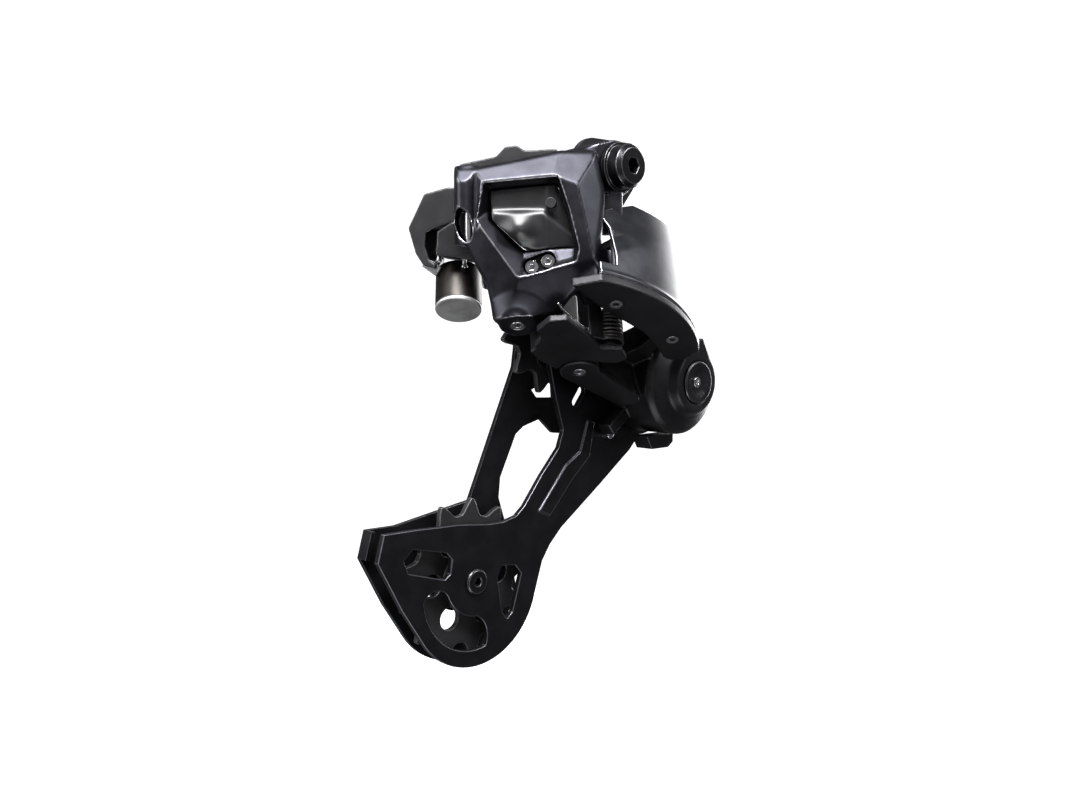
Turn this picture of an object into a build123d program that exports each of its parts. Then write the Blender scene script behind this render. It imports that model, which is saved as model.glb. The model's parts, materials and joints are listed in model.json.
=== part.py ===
from build123d import *
import os
from math import cos, degrees, pi, radians, sin

# Rear bicycle derailleur, millimetres.
# X points to the front of the bicycle, Y inboard towards the wheel, Z up.
# The origin is on the hanger bolt axis, where the stop plate seats on the frame's hanger.

# ---------------------------------------------------------------- driving sizes
RUNNING = 0.04  # radial clearance of every running fit
GAP = 0.4  # side clearance between pieces of different bodies

HANGER_PIN_R = 5.0  # M10 hanger thread, outside
HANGER_PIN_REACH = 9.0  # thread standing inboard of the seat
HANGER_HEAD_R = 7.4
HANGER_HEAD_LENGTH = 5.7
HANGER_FLANGE_R = 8.5
HANGER_FLANGE_T = 1.5
HANGER_HEX = 5.0  # across flats of the key socket
SHANK_R = 5.4  # plain shank inside the sleeve
SLEEVE_R = 6.8
BOSS_R = 9.6
BOSS_LENGTH = 10.0
STOP_PLATE_T = 1.6

PIN_LEAN = 22.0  # link pins lean forward, degrees
PIN_SLANT = 23.5  # and inboard, degrees
OUTER_TOP = (-9.7, -20.7, -47.2)  # lower end of the pin that joins bracket and outer link
LINK_LENGTH = 32.4
PIVOT_BACK = 17.4  # inner pivots sit this far behind the outer ones along the links
PIVOT_IN = 29.2  # and this far inboard
PIVOT_PIN_R = 2.2
BUSH_R = 3.1
KNUCKLE_R = 5.0
FLANGE_T = 3.2
KNUCKLE_LENGTH = 16.0

PULLEY_TEETH = 13
CHAIN_PITCH = 12.7
TOOTH_T = 2.2
PULLEY_HUB = 5.2
BEARING_R = 8.0
BEARING_BORE = 4.6
BUSH_BORE = 2.5
CAGE_OUTER_FACE = 17.0  # outboard face of the outer cage plate, along Y
OUTER_PLATE_T = 2.2
INNER_PLATE_T = 1.8
CAGE_GAP = 8.2  # between the two plates
CAGE_FROM_LINK = (26.36, -16.66)  # cage pivot from the lower end of the outer link, X and Z
TENSION_FROM_CAGE = (-87.0, -67.5)  # tension pulley axis from the cage pivot, X and Z
GUIDE_FROM_TENSION = (46.0, 91.0)

DRUM_R = 20.6
DRUM_WALL = 2.6
DRUM_OUTER_FACE = -12.0
DRUM_INNER_FACE = 15.8
AXLE_R = 7.0
CAP_R = 8.2

FACE_FRONT = 5.0  # bracket face thickness in front of its middle plane
FACE_BACK = 6.0
CASE_WALL = 1.4
MOTOR_R = 8.3
MOTOR_LENGTH = 16.0

# ---------------------------------------------------------------- directions and planes
lean = radians(PIN_LEAN)
slant = radians(PIN_SLANT)
LINK_DIR = Vector(cos(lean), 0, -sin(lean))
PIN_DIR = Vector(sin(lean) * cos(slant), sin(slant), cos(lean) * cos(slant))
ACROSS_DIR = PIN_DIR.cross(LINK_DIR)

PIVOT_A = (-PIVOT_BACK, PIVOT_IN)
PIVOT_B = (0.0, 0.0)
PIVOT_C = (LINK_LENGTH - PIVOT_BACK, PIVOT_IN)
PIVOT_D = (LINK_LENGTH, 0.0)
LINK_FOOT = Vector(*OUTER_TOP) + LINK_DIR * LINK_LENGTH
CAGE_PIVOT = (LINK_FOOT.X + CAGE_FROM_LINK[0], LINK_FOOT.Z + CAGE_FROM_LINK[1])
CAGE_TENSION = (CAGE_PIVOT[0] + TENSION_FROM_CAGE[0], CAGE_PIVOT[1] + TENSION_FROM_CAGE[1])
SPRING_AT = (PIVOT_C[0] - 2.0, 14.0)  # axis of the return spring
A_LOW = -3.4  # height of the lower end of the inner upper pin
C_LOW = -8.8  # and of the inner lower pin


def link_plane(height):
    """Plane square to the link pins, x along the links, at a height along the pins."""
    return Plane(origin=Vector(*OUTER_TOP) + PIN_DIR * height, x_dir=LINK_DIR, z_dir=PIN_DIR)


def front(x, y):
    """Point given from the outer lower pivot, along and across the links."""
    return (PIVOT_D[0] + x, PIVOT_D[1] + y)


def beside_spring(x, y):
    """Point given from the return spring's axis, along and across the links."""
    return (SPRING_AT[0] + x, SPRING_AT[1] + y)


def pivot_plane(pivot, height):
    """Plane square to one link pin, with its origin on the pin's axis."""
    base = link_plane(height)
    return Plane(origin=base.from_local_coords((*pivot, 0)), x_dir=LINK_DIR, z_dir=PIN_DIR)


FACE_ORIGIN = Vector(*pivot_plane(PIVOT_A, A_LOW).origin)
toward_outer = Vector(*OUTER_TOP) - FACE_ORIGIN
FACE_X = Vector(toward_outer.X, toward_outer.Y, 0).normalized()
FACE_OUT = FACE_X.cross(Vector(0, 0, 1))


def face_plane(depth):
    """Upright plane of the bracket's face, x to the right, y up, depth towards its front."""
    return Plane(origin=FACE_ORIGIN + FACE_OUT * depth, x_dir=FACE_X, z_dir=FACE_OUT)


def side_plane(y):
    """Plane parallel to the bicycle's middle, x forward and y up, facing outboard."""
    return Plane(origin=(0, y, 0), x_dir=(1, 0, 0), z_dir=(0, -1, 0))


def cage_plane(y):
    """Side plane with its origin on the tension pulley's axis."""
    return Plane(origin=(CAGE_TENSION[0], y, CAGE_TENSION[1]), x_dir=(1, 0, 0), z_dir=(0, -1, 0))


def inboard(centre, y=0.0):
    """Plane square to the wheel axis, whose normal points inboard."""
    return Plane(origin=(centre[0], y, centre[1]), x_dir=(1, 0, 0), z_dir=(0, 1, 0))


def turned(base, profile):
    """Solid of revolution about the normal of base, from (radius, height) points."""
    with BuildPart() as piece:
        with BuildSketch(Plane(origin=base.origin, x_dir=base.x_dir, z_dir=-base.y_dir)):
            Polygon(*profile, align=None)
        revolve(axis=Axis(base.origin, base.z_dir))
    return piece.part


def tube(base, outer, inner, low, high):
    """Ring or rod between two heights; inner 0 makes it a rod."""
    return turned(base, [(inner, low), (outer, low), (outer, high), (inner, high)])


def slab(base, points, low, high):
    """Prism over a straight-sided outline between two heights of a plane."""
    with BuildPart() as piece:
        with BuildSketch(base.offset(low)):
            Polygon(*points, align=None)
        extrude(amount=high - low)
    return piece.part


def hex_prism(base, across_flats, low, high):
    """Hexagonal prism, for key sockets."""
    with BuildPart() as piece:
        with BuildSketch(base.offset(low)):
            RegularPolygon(across_flats / 2, 6, major_radius=False)
        extrude(amount=high - low)
    return piece.part


def on_plane(base, x, y):
    """The same plane moved to a point given in its own x and y."""
    return Plane(origin=base.from_local_coords((x, y, 0)), x_dir=base.x_dir, z_dir=base.z_dir)


os.makedirs("parts", exist_ok=True)


def save(part, name):
    """Label one finished piece and write it to its own file."""
    part.label = name
    export_step(part, f"parts/{name}.step")


# ================================================================ hanger end
hanger = inboard((0, 0))
BOSS_INNER = -STOP_PLATE_T - GAP
BOSS_OUTER = BOSS_INNER - BOSS_LENGTH
FLANGE_INNER = BOSS_OUTER - GAP
FLANGE_OUTER = FLANGE_INNER - HANGER_FLANGE_T
HEAD_OUTER = FLANGE_OUTER - HANGER_HEAD_LENGTH
HEAD_CHAMFER = 1.4

with BuildPart() as hanger_bolt:
    add(
        turned(
            hanger,
            [
                (0, HEAD_OUTER),
                (HANGER_HEAD_R - HEAD_CHAMFER, HEAD_OUTER),
                (HANGER_HEAD_R, HEAD_OUTER + HEAD_CHAMFER),
                (HANGER_HEAD_R, FLANGE_OUTER),
                (HANGER_FLANGE_R, FLANGE_OUTER),
                (HANGER_FLANGE_R, FLANGE_INNER),
                (SHANK_R, FLANGE_INNER),
                (SHANK_R, 0),
                (HANGER_PIN_R, 0),
                (HANGER_PIN_R, HANGER_PIN_REACH),
                (0, HANGER_PIN_REACH),
            ],
        )
    )
    add(hex_prism(hanger, HANGER_HEX, HEAD_OUTER, HEAD_OUTER + 4.5), mode=Mode.SUBTRACT)
save(hanger_bolt.part, "hanger_bolt")

with BuildPart() as axle_sleeve:
    add(tube(hanger, SLEEVE_R, SHANK_R, FLANGE_INNER, -STOP_PLATE_T))
save(axle_sleeve.part, "axle_sleeve")

TAB_X = (-4.6, -1.6)
TAB_Z = (-17.0, -10.8)
TAB_REACH = 8.5
with BuildPart() as stop_plate:
    with BuildSketch(side_plane(0)):
        Circle(11.6)
        Polygon((0, 11.6), (19.5, 12.0), (24.0, 0.0), (15.0, -10.8), (0, -11.6), align=None)
        Polygon((TAB_X[0], TAB_Z[0]), (TAB_X[1], TAB_Z[0]), (TAB_X[1], -8), (TAB_X[0], -8), align=None)
        Circle(SHANK_R + RUNNING, mode=Mode.SUBTRACT)
    extrude(amount=STOP_PLATE_T)
    with BuildSketch(side_plane(0)):
        Polygon(
            (TAB_X[0], TAB_Z[0]),
            (TAB_X[1], TAB_Z[0]),
            (TAB_X[1], TAB_Z[1]),
            (TAB_X[0], TAB_Z[1]),
            align=None,
        )
    extrude(amount=TAB_REACH)
save(stop_plate.part, "stop_plate")

SEAL_T = GAP - 0.1
with BuildPart() as axle_seal:
    add(tube(hanger, HANGER_FLANGE_R - 0.2, SLEEVE_R, FLANGE_INNER, FLANGE_INNER + SEAL_T))
save(axle_seal.part, "axle_seal")

# ================================================================ bracket casting
A_LUG_T = 5.0
A_KNUCKLE = (A_LOW + A_LUG_T + GAP, A_LOW + A_LUG_T + GAP + 10.0)
A_TOP = A_KNUCKLE[1] + GAP + 5.0
B_KNUCKLE = (FLANGE_T + GAP, FLANGE_T + GAP + KNUCKLE_LENGTH)
KNUCKLE_SWEEP = KNUCKLE_R + 1.2
COLUMN = (-17.3, 0.0)
COLUMN_R = 4.6
COLUMN_BORE = 3.3
face_outline = [
    (-1.0, -4.5),
    (8.6, -1.0),
    (25.0, 16.6),
    (29.0, 19.6),
    (27.6, 22.5),
    (29.2, 40.0),
    (29.4, 44.5),
    (26.0, 58.8),
    (14.5, 58.8),
    (-14.0, 53.4),
    (-21.0, 53.4),
    (-21.6, 34.0),
    (-10.6, 13.6),
    (-8.4, 2.0),
]
window_outline = [
    (-10.6, 47.2),
    (14.2, 49.2),
    (18.0, 38.8),
    (21.3, 25.3),
    (20.2, 21.2),
    (0.8, 16.2),
    (-12.9, 35.0),
]
case_outline = [
    (-9.2, 45.4),
    (13.2, 47.2),
    (16.6, 38.6),
    (19.6, 26.6),
    (13.0, 26.6),
    (6.0, 25.4),
    (1.6, 26.4),
    (-8.4, 35.6),
]
RING_EDGE = 1.6
NECK = [
    (-20.5, 4.0),
    (-2.0, 9.3),
    (4.0, -8.6),
    (-6.4, -9.0),
    (-9.0, -12.5),
    (-13.5, -11.5),
    (-13.5, -6.0),
    (-20.5, -5.6),
]
SCREW_LUG = [(-13.0, -6.5), (-8.0, -9.2), (-8.0, -17.4), (-13.0, -17.4)]
UPPER_EAR_ARM = [(-24, 24), (-24, 34), (-16, 35), (-12, 30), (-14, 22)]
KNUCKLE_ARM = [(-4.8, -1.5), (-12.5, -2.0), (-15.0, 6.0), (-3.0, 12.0), (4.2, 3.0)]
REAR_WALL = [(-13, 13), (-4, 10), (6, 14), (4, 19), (-8, 23), (-14, 24)]
INNER_LINK_SWEEP = [(-23.2, 29.2), (-18.4, 22.4), (-14.6, 18.6), (20, 12), (20, 60), (-17.4, 60), (-26, 50)]
FOOT_SWEEP = [(-9.8, 13.5), (PIVOT_C[0] + 9, 13.5), (PIVOT_C[0] + 9, 60), (-9.8, 60)]
UNDER_EAR = [(-45, 5), (2, 5), (2, 50), (-45, 50)]
EAR_RIM = KNUCKLE_R + 1.6
SCREW_R = 1.5
SCREW_AXIS = (BOSS_INNER - 4.0, -13.6)  # Y and Z of the bracket stop screw
screw_plane = Plane(origin=(0, *SCREW_AXIS), x_dir=(0, 1, 0), z_dir=(1, 0, 0))
column_plane = Plane(origin=face_plane(0).from_local_coords((*COLUMN, 0)))
LIMIT_SCREWS = [(4.6, 20.0), (10.2, 22.0)]
LIMIT_SCREW_R = 1.6

with BuildPart() as bracket_casting:
    with BuildSketch(face_plane(-FACE_BACK)):
        Polygon(*face_outline, align=None)
        Polygon(*window_outline, align=None, mode=Mode.SUBTRACT)
    extrude(amount=FACE_BACK + FACE_FRONT - RING_EDGE)
    with BuildSketch(face_plane(FACE_FRONT - RING_EDGE)):
        Polygon(*face_outline, align=None)
        Polygon(*window_outline, align=None, mode=Mode.SUBTRACT)
    extrude(amount=RING_EDGE, taper=35)
    # wall round the electronics case, which also carries the limit screws
    add(slab(face_plane(0), window_outline, -9.0, -3.5))
    # hollow column on the left, open at its lower end
    add(tube(column_plane, COLUMN_R, 0, 27.0, 54.2))
    # hanger boss and the neck that carries it
    add(tube(hanger, BOSS_R, 0, BOSS_OUTER, BOSS_INNER))
    add(slab(side_plane(BOSS_INNER), NECK, 0, BOSS_LENGTH))
    # screw lug under the neck
    add(slab(side_plane(BOSS_INNER), SCREW_LUG, 0.2, 7.4))
    # ears of the inner upper pivot and knuckle of the outer upper pivot
    add(tube(pivot_plane(PIVOT_A, 0), EAR_RIM, 0, A_LOW, A_LOW + A_LUG_T))
    add(tube(pivot_plane(PIVOT_A, 0), EAR_RIM, 0, A_KNUCKLE[1] + GAP, A_TOP))
    add(slab(link_plane(0), UPPER_EAR_ARM, A_KNUCKLE[1] + GAP, A_TOP))
    add(tube(pivot_plane(PIVOT_B, 0), KNUCKLE_R, 0, *B_KNUCKLE))
    add(slab(link_plane(0), KNUCKLE_ARM, *B_KNUCKLE))
    # rear wall that joins the upper ear to the ring
    add(slab(face_plane(0), REAR_WALL, -14.0, -5.0))
    # clearance for the inner link's knuckle and arm
    slot_low = A_KNUCKLE[0] - GAP
    slot_high = A_KNUCKLE[1] + GAP
    add(tube(pivot_plane(PIVOT_A, 0), KNUCKLE_SWEEP, 0, slot_low, slot_high), mode=Mode.SUBTRACT)
    add(slab(link_plane(0), INNER_LINK_SWEEP, slot_low, slot_high), mode=Mode.SUBTRACT)
    add(slab(link_plane(0), FOOT_SWEEP, -14, slot_high), mode=Mode.SUBTRACT)
    # everything below the flat foot of the inner upper pivot goes
    add(slab(link_plane(A_LOW), UNDER_EAR, -12, 0), mode=Mode.SUBTRACT)
    # room for the electronics case
    with BuildSketch(face_plane(-16.0)):
        Polygon(*case_outline, align=None)
        offset(amount=0.3)
    extrude(amount=22.0, mode=Mode.SUBTRACT)
    # bores
    add(tube(hanger, SLEEVE_R + RUNNING, 0, BOSS_OUTER - 1, 0), mode=Mode.SUBTRACT)
    add(tube(pivot_plane(PIVOT_A, 0), PIVOT_PIN_R, 0, A_LOW - 1, A_TOP + 1), mode=Mode.SUBTRACT)
    add(tube(pivot_plane(PIVOT_B, 0), BUSH_R, 0, B_KNUCKLE[0] - 1, B_KNUCKLE[1] + 1), mode=Mode.SUBTRACT)
    add(tube(screw_plane, SCREW_R, 0, -17, -5), mode=Mode.SUBTRACT)
    add(tube(column_plane, COLUMN_BORE, 0, 20.0, 47.0), mode=Mode.SUBTRACT)
    for x, y in LIMIT_SCREWS:
        add(tube(on_plane(face_plane(0), x, y), LIMIT_SCREW_R, 0, -12, -2), mode=Mode.SUBTRACT)
save(bracket_casting.part, "bracket_casting")

with BuildPart() as stop_screw:
    add(tube(screw_plane, SCREW_R, 0, -14.0, TAB_X[0] - 0.05))
    add(hex_prism(screw_plane, 1.6, -14.0, -12.4), mode=Mode.SUBTRACT)
save(stop_screw.part, "bracket_stop_screw")


with BuildPart() as column_pin:
    add(tube(column_plane, COLUMN_BORE, 0, 33.0, 46.0))
save(column_pin.part, "column_pin")

LIMIT_HEAD_R = 2.3
with BuildPart() as limit_screws:
    for x, y in LIMIT_SCREWS:
        base = on_plane(face_plane(0), x, y)
        add(tube(base, LIMIT_SCREW_R, 0, -11.0, -3.5))
        add(tube(base, LIMIT_HEAD_R, 0, -3.5, -1.6))
        add(hex_prism(base, 2.0, -2.8, -1.6), mode=Mode.SUBTRACT)
save(limit_screws.part, "limit_screws")

# ================================================================ electronics in the bracket
CASE_BACK = -13.0
CASE_FRONT = 2.6
BUTTON_AT = (11.6, 41.0)
BUTTON_R = 1.7
LENS_AT = (2.6, 29.0)
LENS_R = 0.9
COVER_T = 1.2
BOARD = [(-6.4, 42.6), (11.4, 43.8), (16.6, 29.4), (3.0, 29.4), (-5.8, 37.0)]
CELL = [(-6.4, 42.4), (10.6, 43.4), (14.6, 30.4), (3.0, 30.4), (-5.8, 37.0)]

with BuildPart() as electronics_case:
    with BuildSketch(face_plane(CASE_BACK)):
        Polygon(*case_outline, align=None)
    extrude(amount=CASE_FRONT - CASE_BACK)
    with BuildSketch(face_plane(CASE_BACK)):
        Polygon(*case_outline, align=None)
        offset(amount=-CASE_WALL)
    extrude(amount=CASE_FRONT - CASE_BACK - CASE_WALL, mode=Mode.SUBTRACT)
    add(tube(on_plane(face_plane(0), *BUTTON_AT), BUTTON_R + 0.1, 0, 0, 5), mode=Mode.SUBTRACT)
    add(tube(on_plane(face_plane(0), *LENS_AT), LENS_R, 0, 0, 5), mode=Mode.SUBTRACT)
save(electronics_case.part, "electronics_case")

with BuildPart() as case_back_cover:
    with BuildSketch(face_plane(CASE_BACK)):
        Polygon(*case_outline, align=None)
    extrude(amount=-COVER_T)
save(case_back_cover.part, "case_back_cover")

with BuildPart() as function_button:
    base = on_plane(face_plane(0), *BUTTON_AT)
    add(tube(base, BUTTON_R, 0, -0.4, CASE_FRONT + 0.7))
    add(tube(base, BUTTON_R + 0.5, 0, -1.2, -0.4))
save(function_button.part, "function_button")

with BuildPart() as status_lens:
    add(tube(on_plane(face_plane(0), *LENS_AT), LENS_R, 0, CASE_FRONT - CASE_WALL, CASE_FRONT + 0.1))
save(status_lens.part, "status_lens")

with BuildPart() as circuit_board:
    add(slab(face_plane(0), BOARD, -11.0, -9.8))
save(circuit_board.part, "circuit_board")

with BuildPart() as battery_cell:
    add(slab(face_plane(0), CELL, -9.4, -2.2))
save(battery_cell.part, "battery_cell")

TOP_BACK = -15.0
TOP_LINE = [(-20.6, 53.4), (-14.0, 53.4), (14.5, 58.8)]  # upper edge of the bracket's face
cover_outline = [
    TOP_LINE[0],
    TOP_LINE[1],
    (13.0, 58.5),
    (13.0, 60.0),
    (2.0, 59.6),
    (-1.0, 61.4),
    (-4.8, 61.0),
    (-8.0, 57.8),
    (-20.6, 55.4),
]
COVER_FLAP = [(-16.0, 47.8), (13.0, 47.8), (13.0, 58.5), (-14.2, 53.4)]
with BuildPart() as top_cover:
    with BuildSketch(face_plane(TOP_BACK)):
        Polygon(*cover_outline, align=None)
    extrude(amount=-TOP_BACK - COLUMN_R - GAP)
    add(slab(face_plane(0), COVER_FLAP, TOP_BACK, TOP_BACK + 0.6))
    # seat on the bracket's upper edge
    add(slab(face_plane(0), [*TOP_LINE, (28, 58.8), (28, 45), (-30, 45)], -FACE_BACK, 9), mode=Mode.SUBTRACT)
save(top_cover.part, "top_cover")

# ================================================================ battery housing and motor
MOTOR_AT = (-22.6, 5.4, -12.0)  # middle of the motor's lower face, in the bracket face's axes
MOTOR_WALL = 1.0
motor_plane = Plane(origin=face_plane(0).from_local_coords(MOTOR_AT), x_dir=LINK_DIR, z_dir=PIN_DIR)
HOOK_BACK = -22.0
HOOK_FRONT = -9.0
HOOK_WALL = 1.6
PAD = [(-36.2, 24.2), (-34.4, 21.4), (-31.2, 20.6), (-31.0, 24.4)]
GEAR_BOX = [(-29.4, 24.4), (-15.0, 22.4), (-14.0, 35.8), (-23.8, 35.8), (-28.8, 32.6)]
hook_outline = [
    (-17.0, 47.4),
    (-25.5, 48.2),
    (-34.0, 46.0),
    (-39.8, 34.2),
    (-37.2, 25.2),
    (-34.6, 21.2),
    (-30.4, 20.0),
    (-29.6, 24.0),
    (-31.2, 27.0),
    (-29.8, 34.2),
    (-24.0, 36.0),
    (-17.0, 36.0),
]
with BuildPart() as battery_housing:
    with BuildSketch(face_plane(HOOK_BACK)):
        Polygon(*hook_outline, align=None)
    extrude(amount=HOOK_FRONT - HOOK_BACK)
    with BuildSketch(face_plane(HOOK_BACK)):
        Polygon(*hook_outline, align=None)
        offset(amount=-HOOK_WALL)
    extrude(amount=HOOK_FRONT - HOOK_BACK - HOOK_WALL, mode=Mode.SUBTRACT)
    add(tube(motor_plane, MOTOR_R + 0.2, 0, 0, MOTOR_LENGTH), mode=Mode.SUBTRACT)
save(battery_housing.part, "battery_housing")

with BuildPart() as battery_cover:
    with BuildSketch(face_plane(HOOK_BACK)):
        Polygon(*hook_outline, align=None)
    extrude(amount=-COVER_T)
save(battery_cover.part, "battery_cover")

with BuildPart() as contact_pad:
    add(slab(face_plane(0), PAD, HOOK_FRONT, HOOK_FRONT + 0.8))
save(contact_pad.part, "contact_pad")

with BuildPart() as motor_can:
    add(tube(motor_plane, MOTOR_R, 0, COVER_T, MOTOR_LENGTH))
    add(tube(motor_plane, MOTOR_R - MOTOR_WALL, 0, COVER_T, MOTOR_LENGTH - MOTOR_WALL), mode=Mode.SUBTRACT)
    add(tube(motor_plane, 1.6, 0, 0, MOTOR_LENGTH + 1), mode=Mode.SUBTRACT)
save(motor_can.part, "motor_can")

with BuildPart() as motor_end_cap:
    add(tube(motor_plane, MOTOR_R, 0, 0, COVER_T))
    rim = motor_end_cap.faces().filter_by(GeomType.CYLINDER).edges()
    chamfer(rim.group_by(Axis(motor_plane.origin, PIN_DIR))[0], 0.4)
save(motor_end_cap.part, "motor_end_cap")

ROTOR_R = 5.0
SHAFT_R = 1.5
with BuildPart() as motor_rotor:
    add(tube(motor_plane, ROTOR_R, 0, COVER_T + 1.4, MOTOR_LENGTH - 2.4))
    add(tube(motor_plane, SHAFT_R, 0, COVER_T + 0.3, MOTOR_LENGTH + 3.0))
save(motor_rotor.part, "motor_rotor")

with BuildPart() as motor_magnets:
    add(tube(motor_plane, MOTOR_R - MOTOR_WALL, ROTOR_R + 0.5, COVER_T + 1.0, MOTOR_LENGTH - 2.0))
save(motor_magnets.part, "motor_magnets")

GEAR_BOX_BACK = -26.0
with BuildPart() as gear_housing:
    add(slab(face_plane(0), GEAR_BOX, GEAR_BOX_BACK, -FACE_BACK))
    add(tube(motor_plane, MOTOR_R + 6.0, 0, 0, MOTOR_LENGTH), mode=Mode.SUBTRACT)
    add(tube(motor_plane, 3.4, 0, MOTOR_LENGTH - 0.1, MOTOR_LENGTH + 3.6), mode=Mode.SUBTRACT)
save(gear_housing.part, "gear_housing")

# ================================================================ outer link
LINK_TOP = B_KNUCKLE[1] + GAP
UPPER_FLANGE_T = 3.0
SKIN_T = 1.1
WALL_T = 1.5
FAIRING_TOP = 39.0
outer_back = (-14.5, -5.6)
outer_mid = (LINK_LENGTH / 2 - 0.2, -12.0)
outer_front = front(13.8, -2.2)


def skin_strip(outside, thickness):
    """Outline of a strip that follows the link's outboard side, set in by an amount."""
    near = outside
    far = outside + thickness
    with BuildSketch() as strip:
        with BuildLine():
            outer = ThreePointArc(
                (outer_back[0], outer_back[1] + near),
                (outer_mid[0], outer_mid[1] + near),
                (outer_front[0], outer_front[1] + near),
            )
            inner = ThreePointArc(
                (outer_back[0], outer_back[1] + far),
                (outer_mid[0], outer_mid[1] + far),
                (outer_front[0], outer_front[1] + far),
            )
            Line(outer @ 0, inner @ 0)
            Line(outer @ 1, inner @ 1)
        make_face()
    return strip.sketch


def link_flange(low, high, back):
    """Flange of the outer link: outboard side arched, inboard side waisted round the pins."""
    with BuildPart() as flange:
        with BuildSketch(link_plane(low)):
            with BuildLine():
                ThreePointArc(outer_back, outer_mid, outer_front)
                Line(outer_front, front(15.0, 3.6))
                ThreePointArc(front(15.0, 3.6), front(12.6, 8.6), front(7.2, 9.6))
                ThreePointArc(front(7.2, 9.6), front(-1.8, 6.6), front(-11.8, 4.4))
                Line(front(-11.8, 4.4), (0, 5.2))
                Line((0, 5.2), back)
                Line(back, outer_back)
            make_face()
        extrude(amount=high - low)
    return flange.part


NOTCH_X = -8.8  # the fairing and the wall behind it start here, past the rear notch
REAR_CUT = [(-16, -14), (NOTCH_X, -14), (NOTCH_X, 6), (-16, 6)]
UPPER_REAR_CUT = [(-16, -6.6), (-5.2, -6.6), (-5.2, 8), (-16, 8)]
strip_wall = skin_strip(SKIN_T, WALL_T)
strip_skin = skin_strip(0, SKIN_T)

with BuildPart() as outer_link:
    add(link_flange(0, FLANGE_T, (-19.0, 3.4)))
    add(link_flange(LINK_TOP, LINK_TOP + UPPER_FLANGE_T, (-5.0, 3.6)))
    with BuildSketch(link_plane(0)):
        add(strip_wall)
    extrude(amount=LINK_TOP + 1)
    add(slab(link_plane(0), REAR_CUT, FLANGE_T, 40), mode=Mode.SUBTRACT)
    add(slab(link_plane(0), UPPER_REAR_CUT, LINK_TOP - 1, 40), mode=Mode.SUBTRACT)
    for pivot in (PIVOT_B, PIVOT_D):
        add(tube(pivot_plane(pivot, 0), PIVOT_PIN_R, 0, -1, 40), mode=Mode.SUBTRACT)
    # the skin's seat
    with BuildSketch(link_plane(FLANGE_T)):
        add(strip_skin)
    extrude(amount=40, mode=Mode.SUBTRACT)
save(outer_link.part, "outer_link")

FAIRING_NOTCH = [(-20, -14), (NOTCH_X, -14), (NOTCH_X, 8), (-20, 8)]
REAR_SLOPE = [(-16, 26), (NOTCH_X, 29), (3.0, 39.5), (3, 44), (-16, 44)]
FRONT_SLOPE = [front(5.6, 40), front(13.6, 26), front(17.6, 26), front(17.6, 44), front(5.6, 44)]
with BuildPart() as link_fairing:
    with BuildSketch(link_plane(FLANGE_T)):
        add(strip_skin)
    extrude(amount=FAIRING_TOP - FLANGE_T)
    with BuildSketch(link_plane(FAIRING_TOP - 1.2)):
        with BuildLine():
            Line(outer_back, outer_front)
            ThreePointArc(outer_back, outer_mid, outer_front)
        make_face()
    extrude(amount=1.2)
    add(slab(link_plane(0), FAIRING_NOTCH, FLANGE_T + 4.5, 60), mode=Mode.SUBTRACT)
    # sloping rear top corner and front top corner
    slope = Plane(origin=link_plane(0).origin, x_dir=LINK_DIR, z_dir=-ACROSS_DIR)
    add(slab(slope, REAR_SLOPE, -10, 20), mode=Mode.SUBTRACT)
    add(slab(slope, FRONT_SLOPE, -10, 20), mode=Mode.SUBTRACT)
save(link_fairing.part, "link_fairing")


def link_pin(pivot, low, high):
    """Headless pivot pin with a key recess in its lower end."""
    base = pivot_plane(pivot, 0)
    with BuildPart() as pin:
        add(tube(base, PIVOT_PIN_R, 0, low, high))
        add(hex_prism(base, 2.0, low, low + 1.6), mode=Mode.SUBTRACT)
    return pin.part


def bush(pivot, low, high):
    """Plain bush that lines one knuckle."""
    return tube(pivot_plane(pivot, 0), BUSH_R, PIVOT_PIN_R + RUNNING, low, high)


with BuildPart() as outer_link_pins:
    for pivot in (PIVOT_B, PIVOT_D):
        add(link_pin(pivot, 0, LINK_TOP + UPPER_FLANGE_T))
save(outer_link_pins.part, "outer_link_pins")
save(link_pin(PIVOT_A, A_LOW, A_TOP), "inner_upper_pin")
save(bush(PIVOT_B, *B_KNUCKLE), "outer_upper_bush")
save(bush(PIVOT_D, *B_KNUCKLE), "outer_lower_bush")

# ================================================================ inner link
C_EAR_T = 3.0
C_KNUCKLE = (C_LOW + C_EAR_T + GAP, C_LOW + C_EAR_T + GAP + 9.4)
C_TOP = C_KNUCKLE[1] + GAP + 3.4
EAR_R = 7.2
UPPER_ARM = [(-17.4, 24.3), (-17.4, 34.2), (-3, 34.2), (-3, 22), (-12, 22)]
LINK_WEB = [(-8.0, 17.0), (-8.0, 32.6), (-2, 34.2), (8, 34.2), (8, 24), (1, 17)]
LOWER_ARM = [(6, 24.2), (PIVOT_C[0], 24.2), (PIVOT_C[0], 34.2), (6, 34.2)]
SPRING_FOOT = [
    (-16.5, 22.6),
    (-18.5, 14.0),
    (-15.0, 9.0),
    (-2.0, 11.0),
    beside_spring(-5.5, -0.8),
    beside_spring(0, -6),
    beside_spring(7, -3),
    beside_spring(7, 2),
    beside_spring(-3, 10),
    (0, 32.6),
    (-10, 28.6),
]
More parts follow.
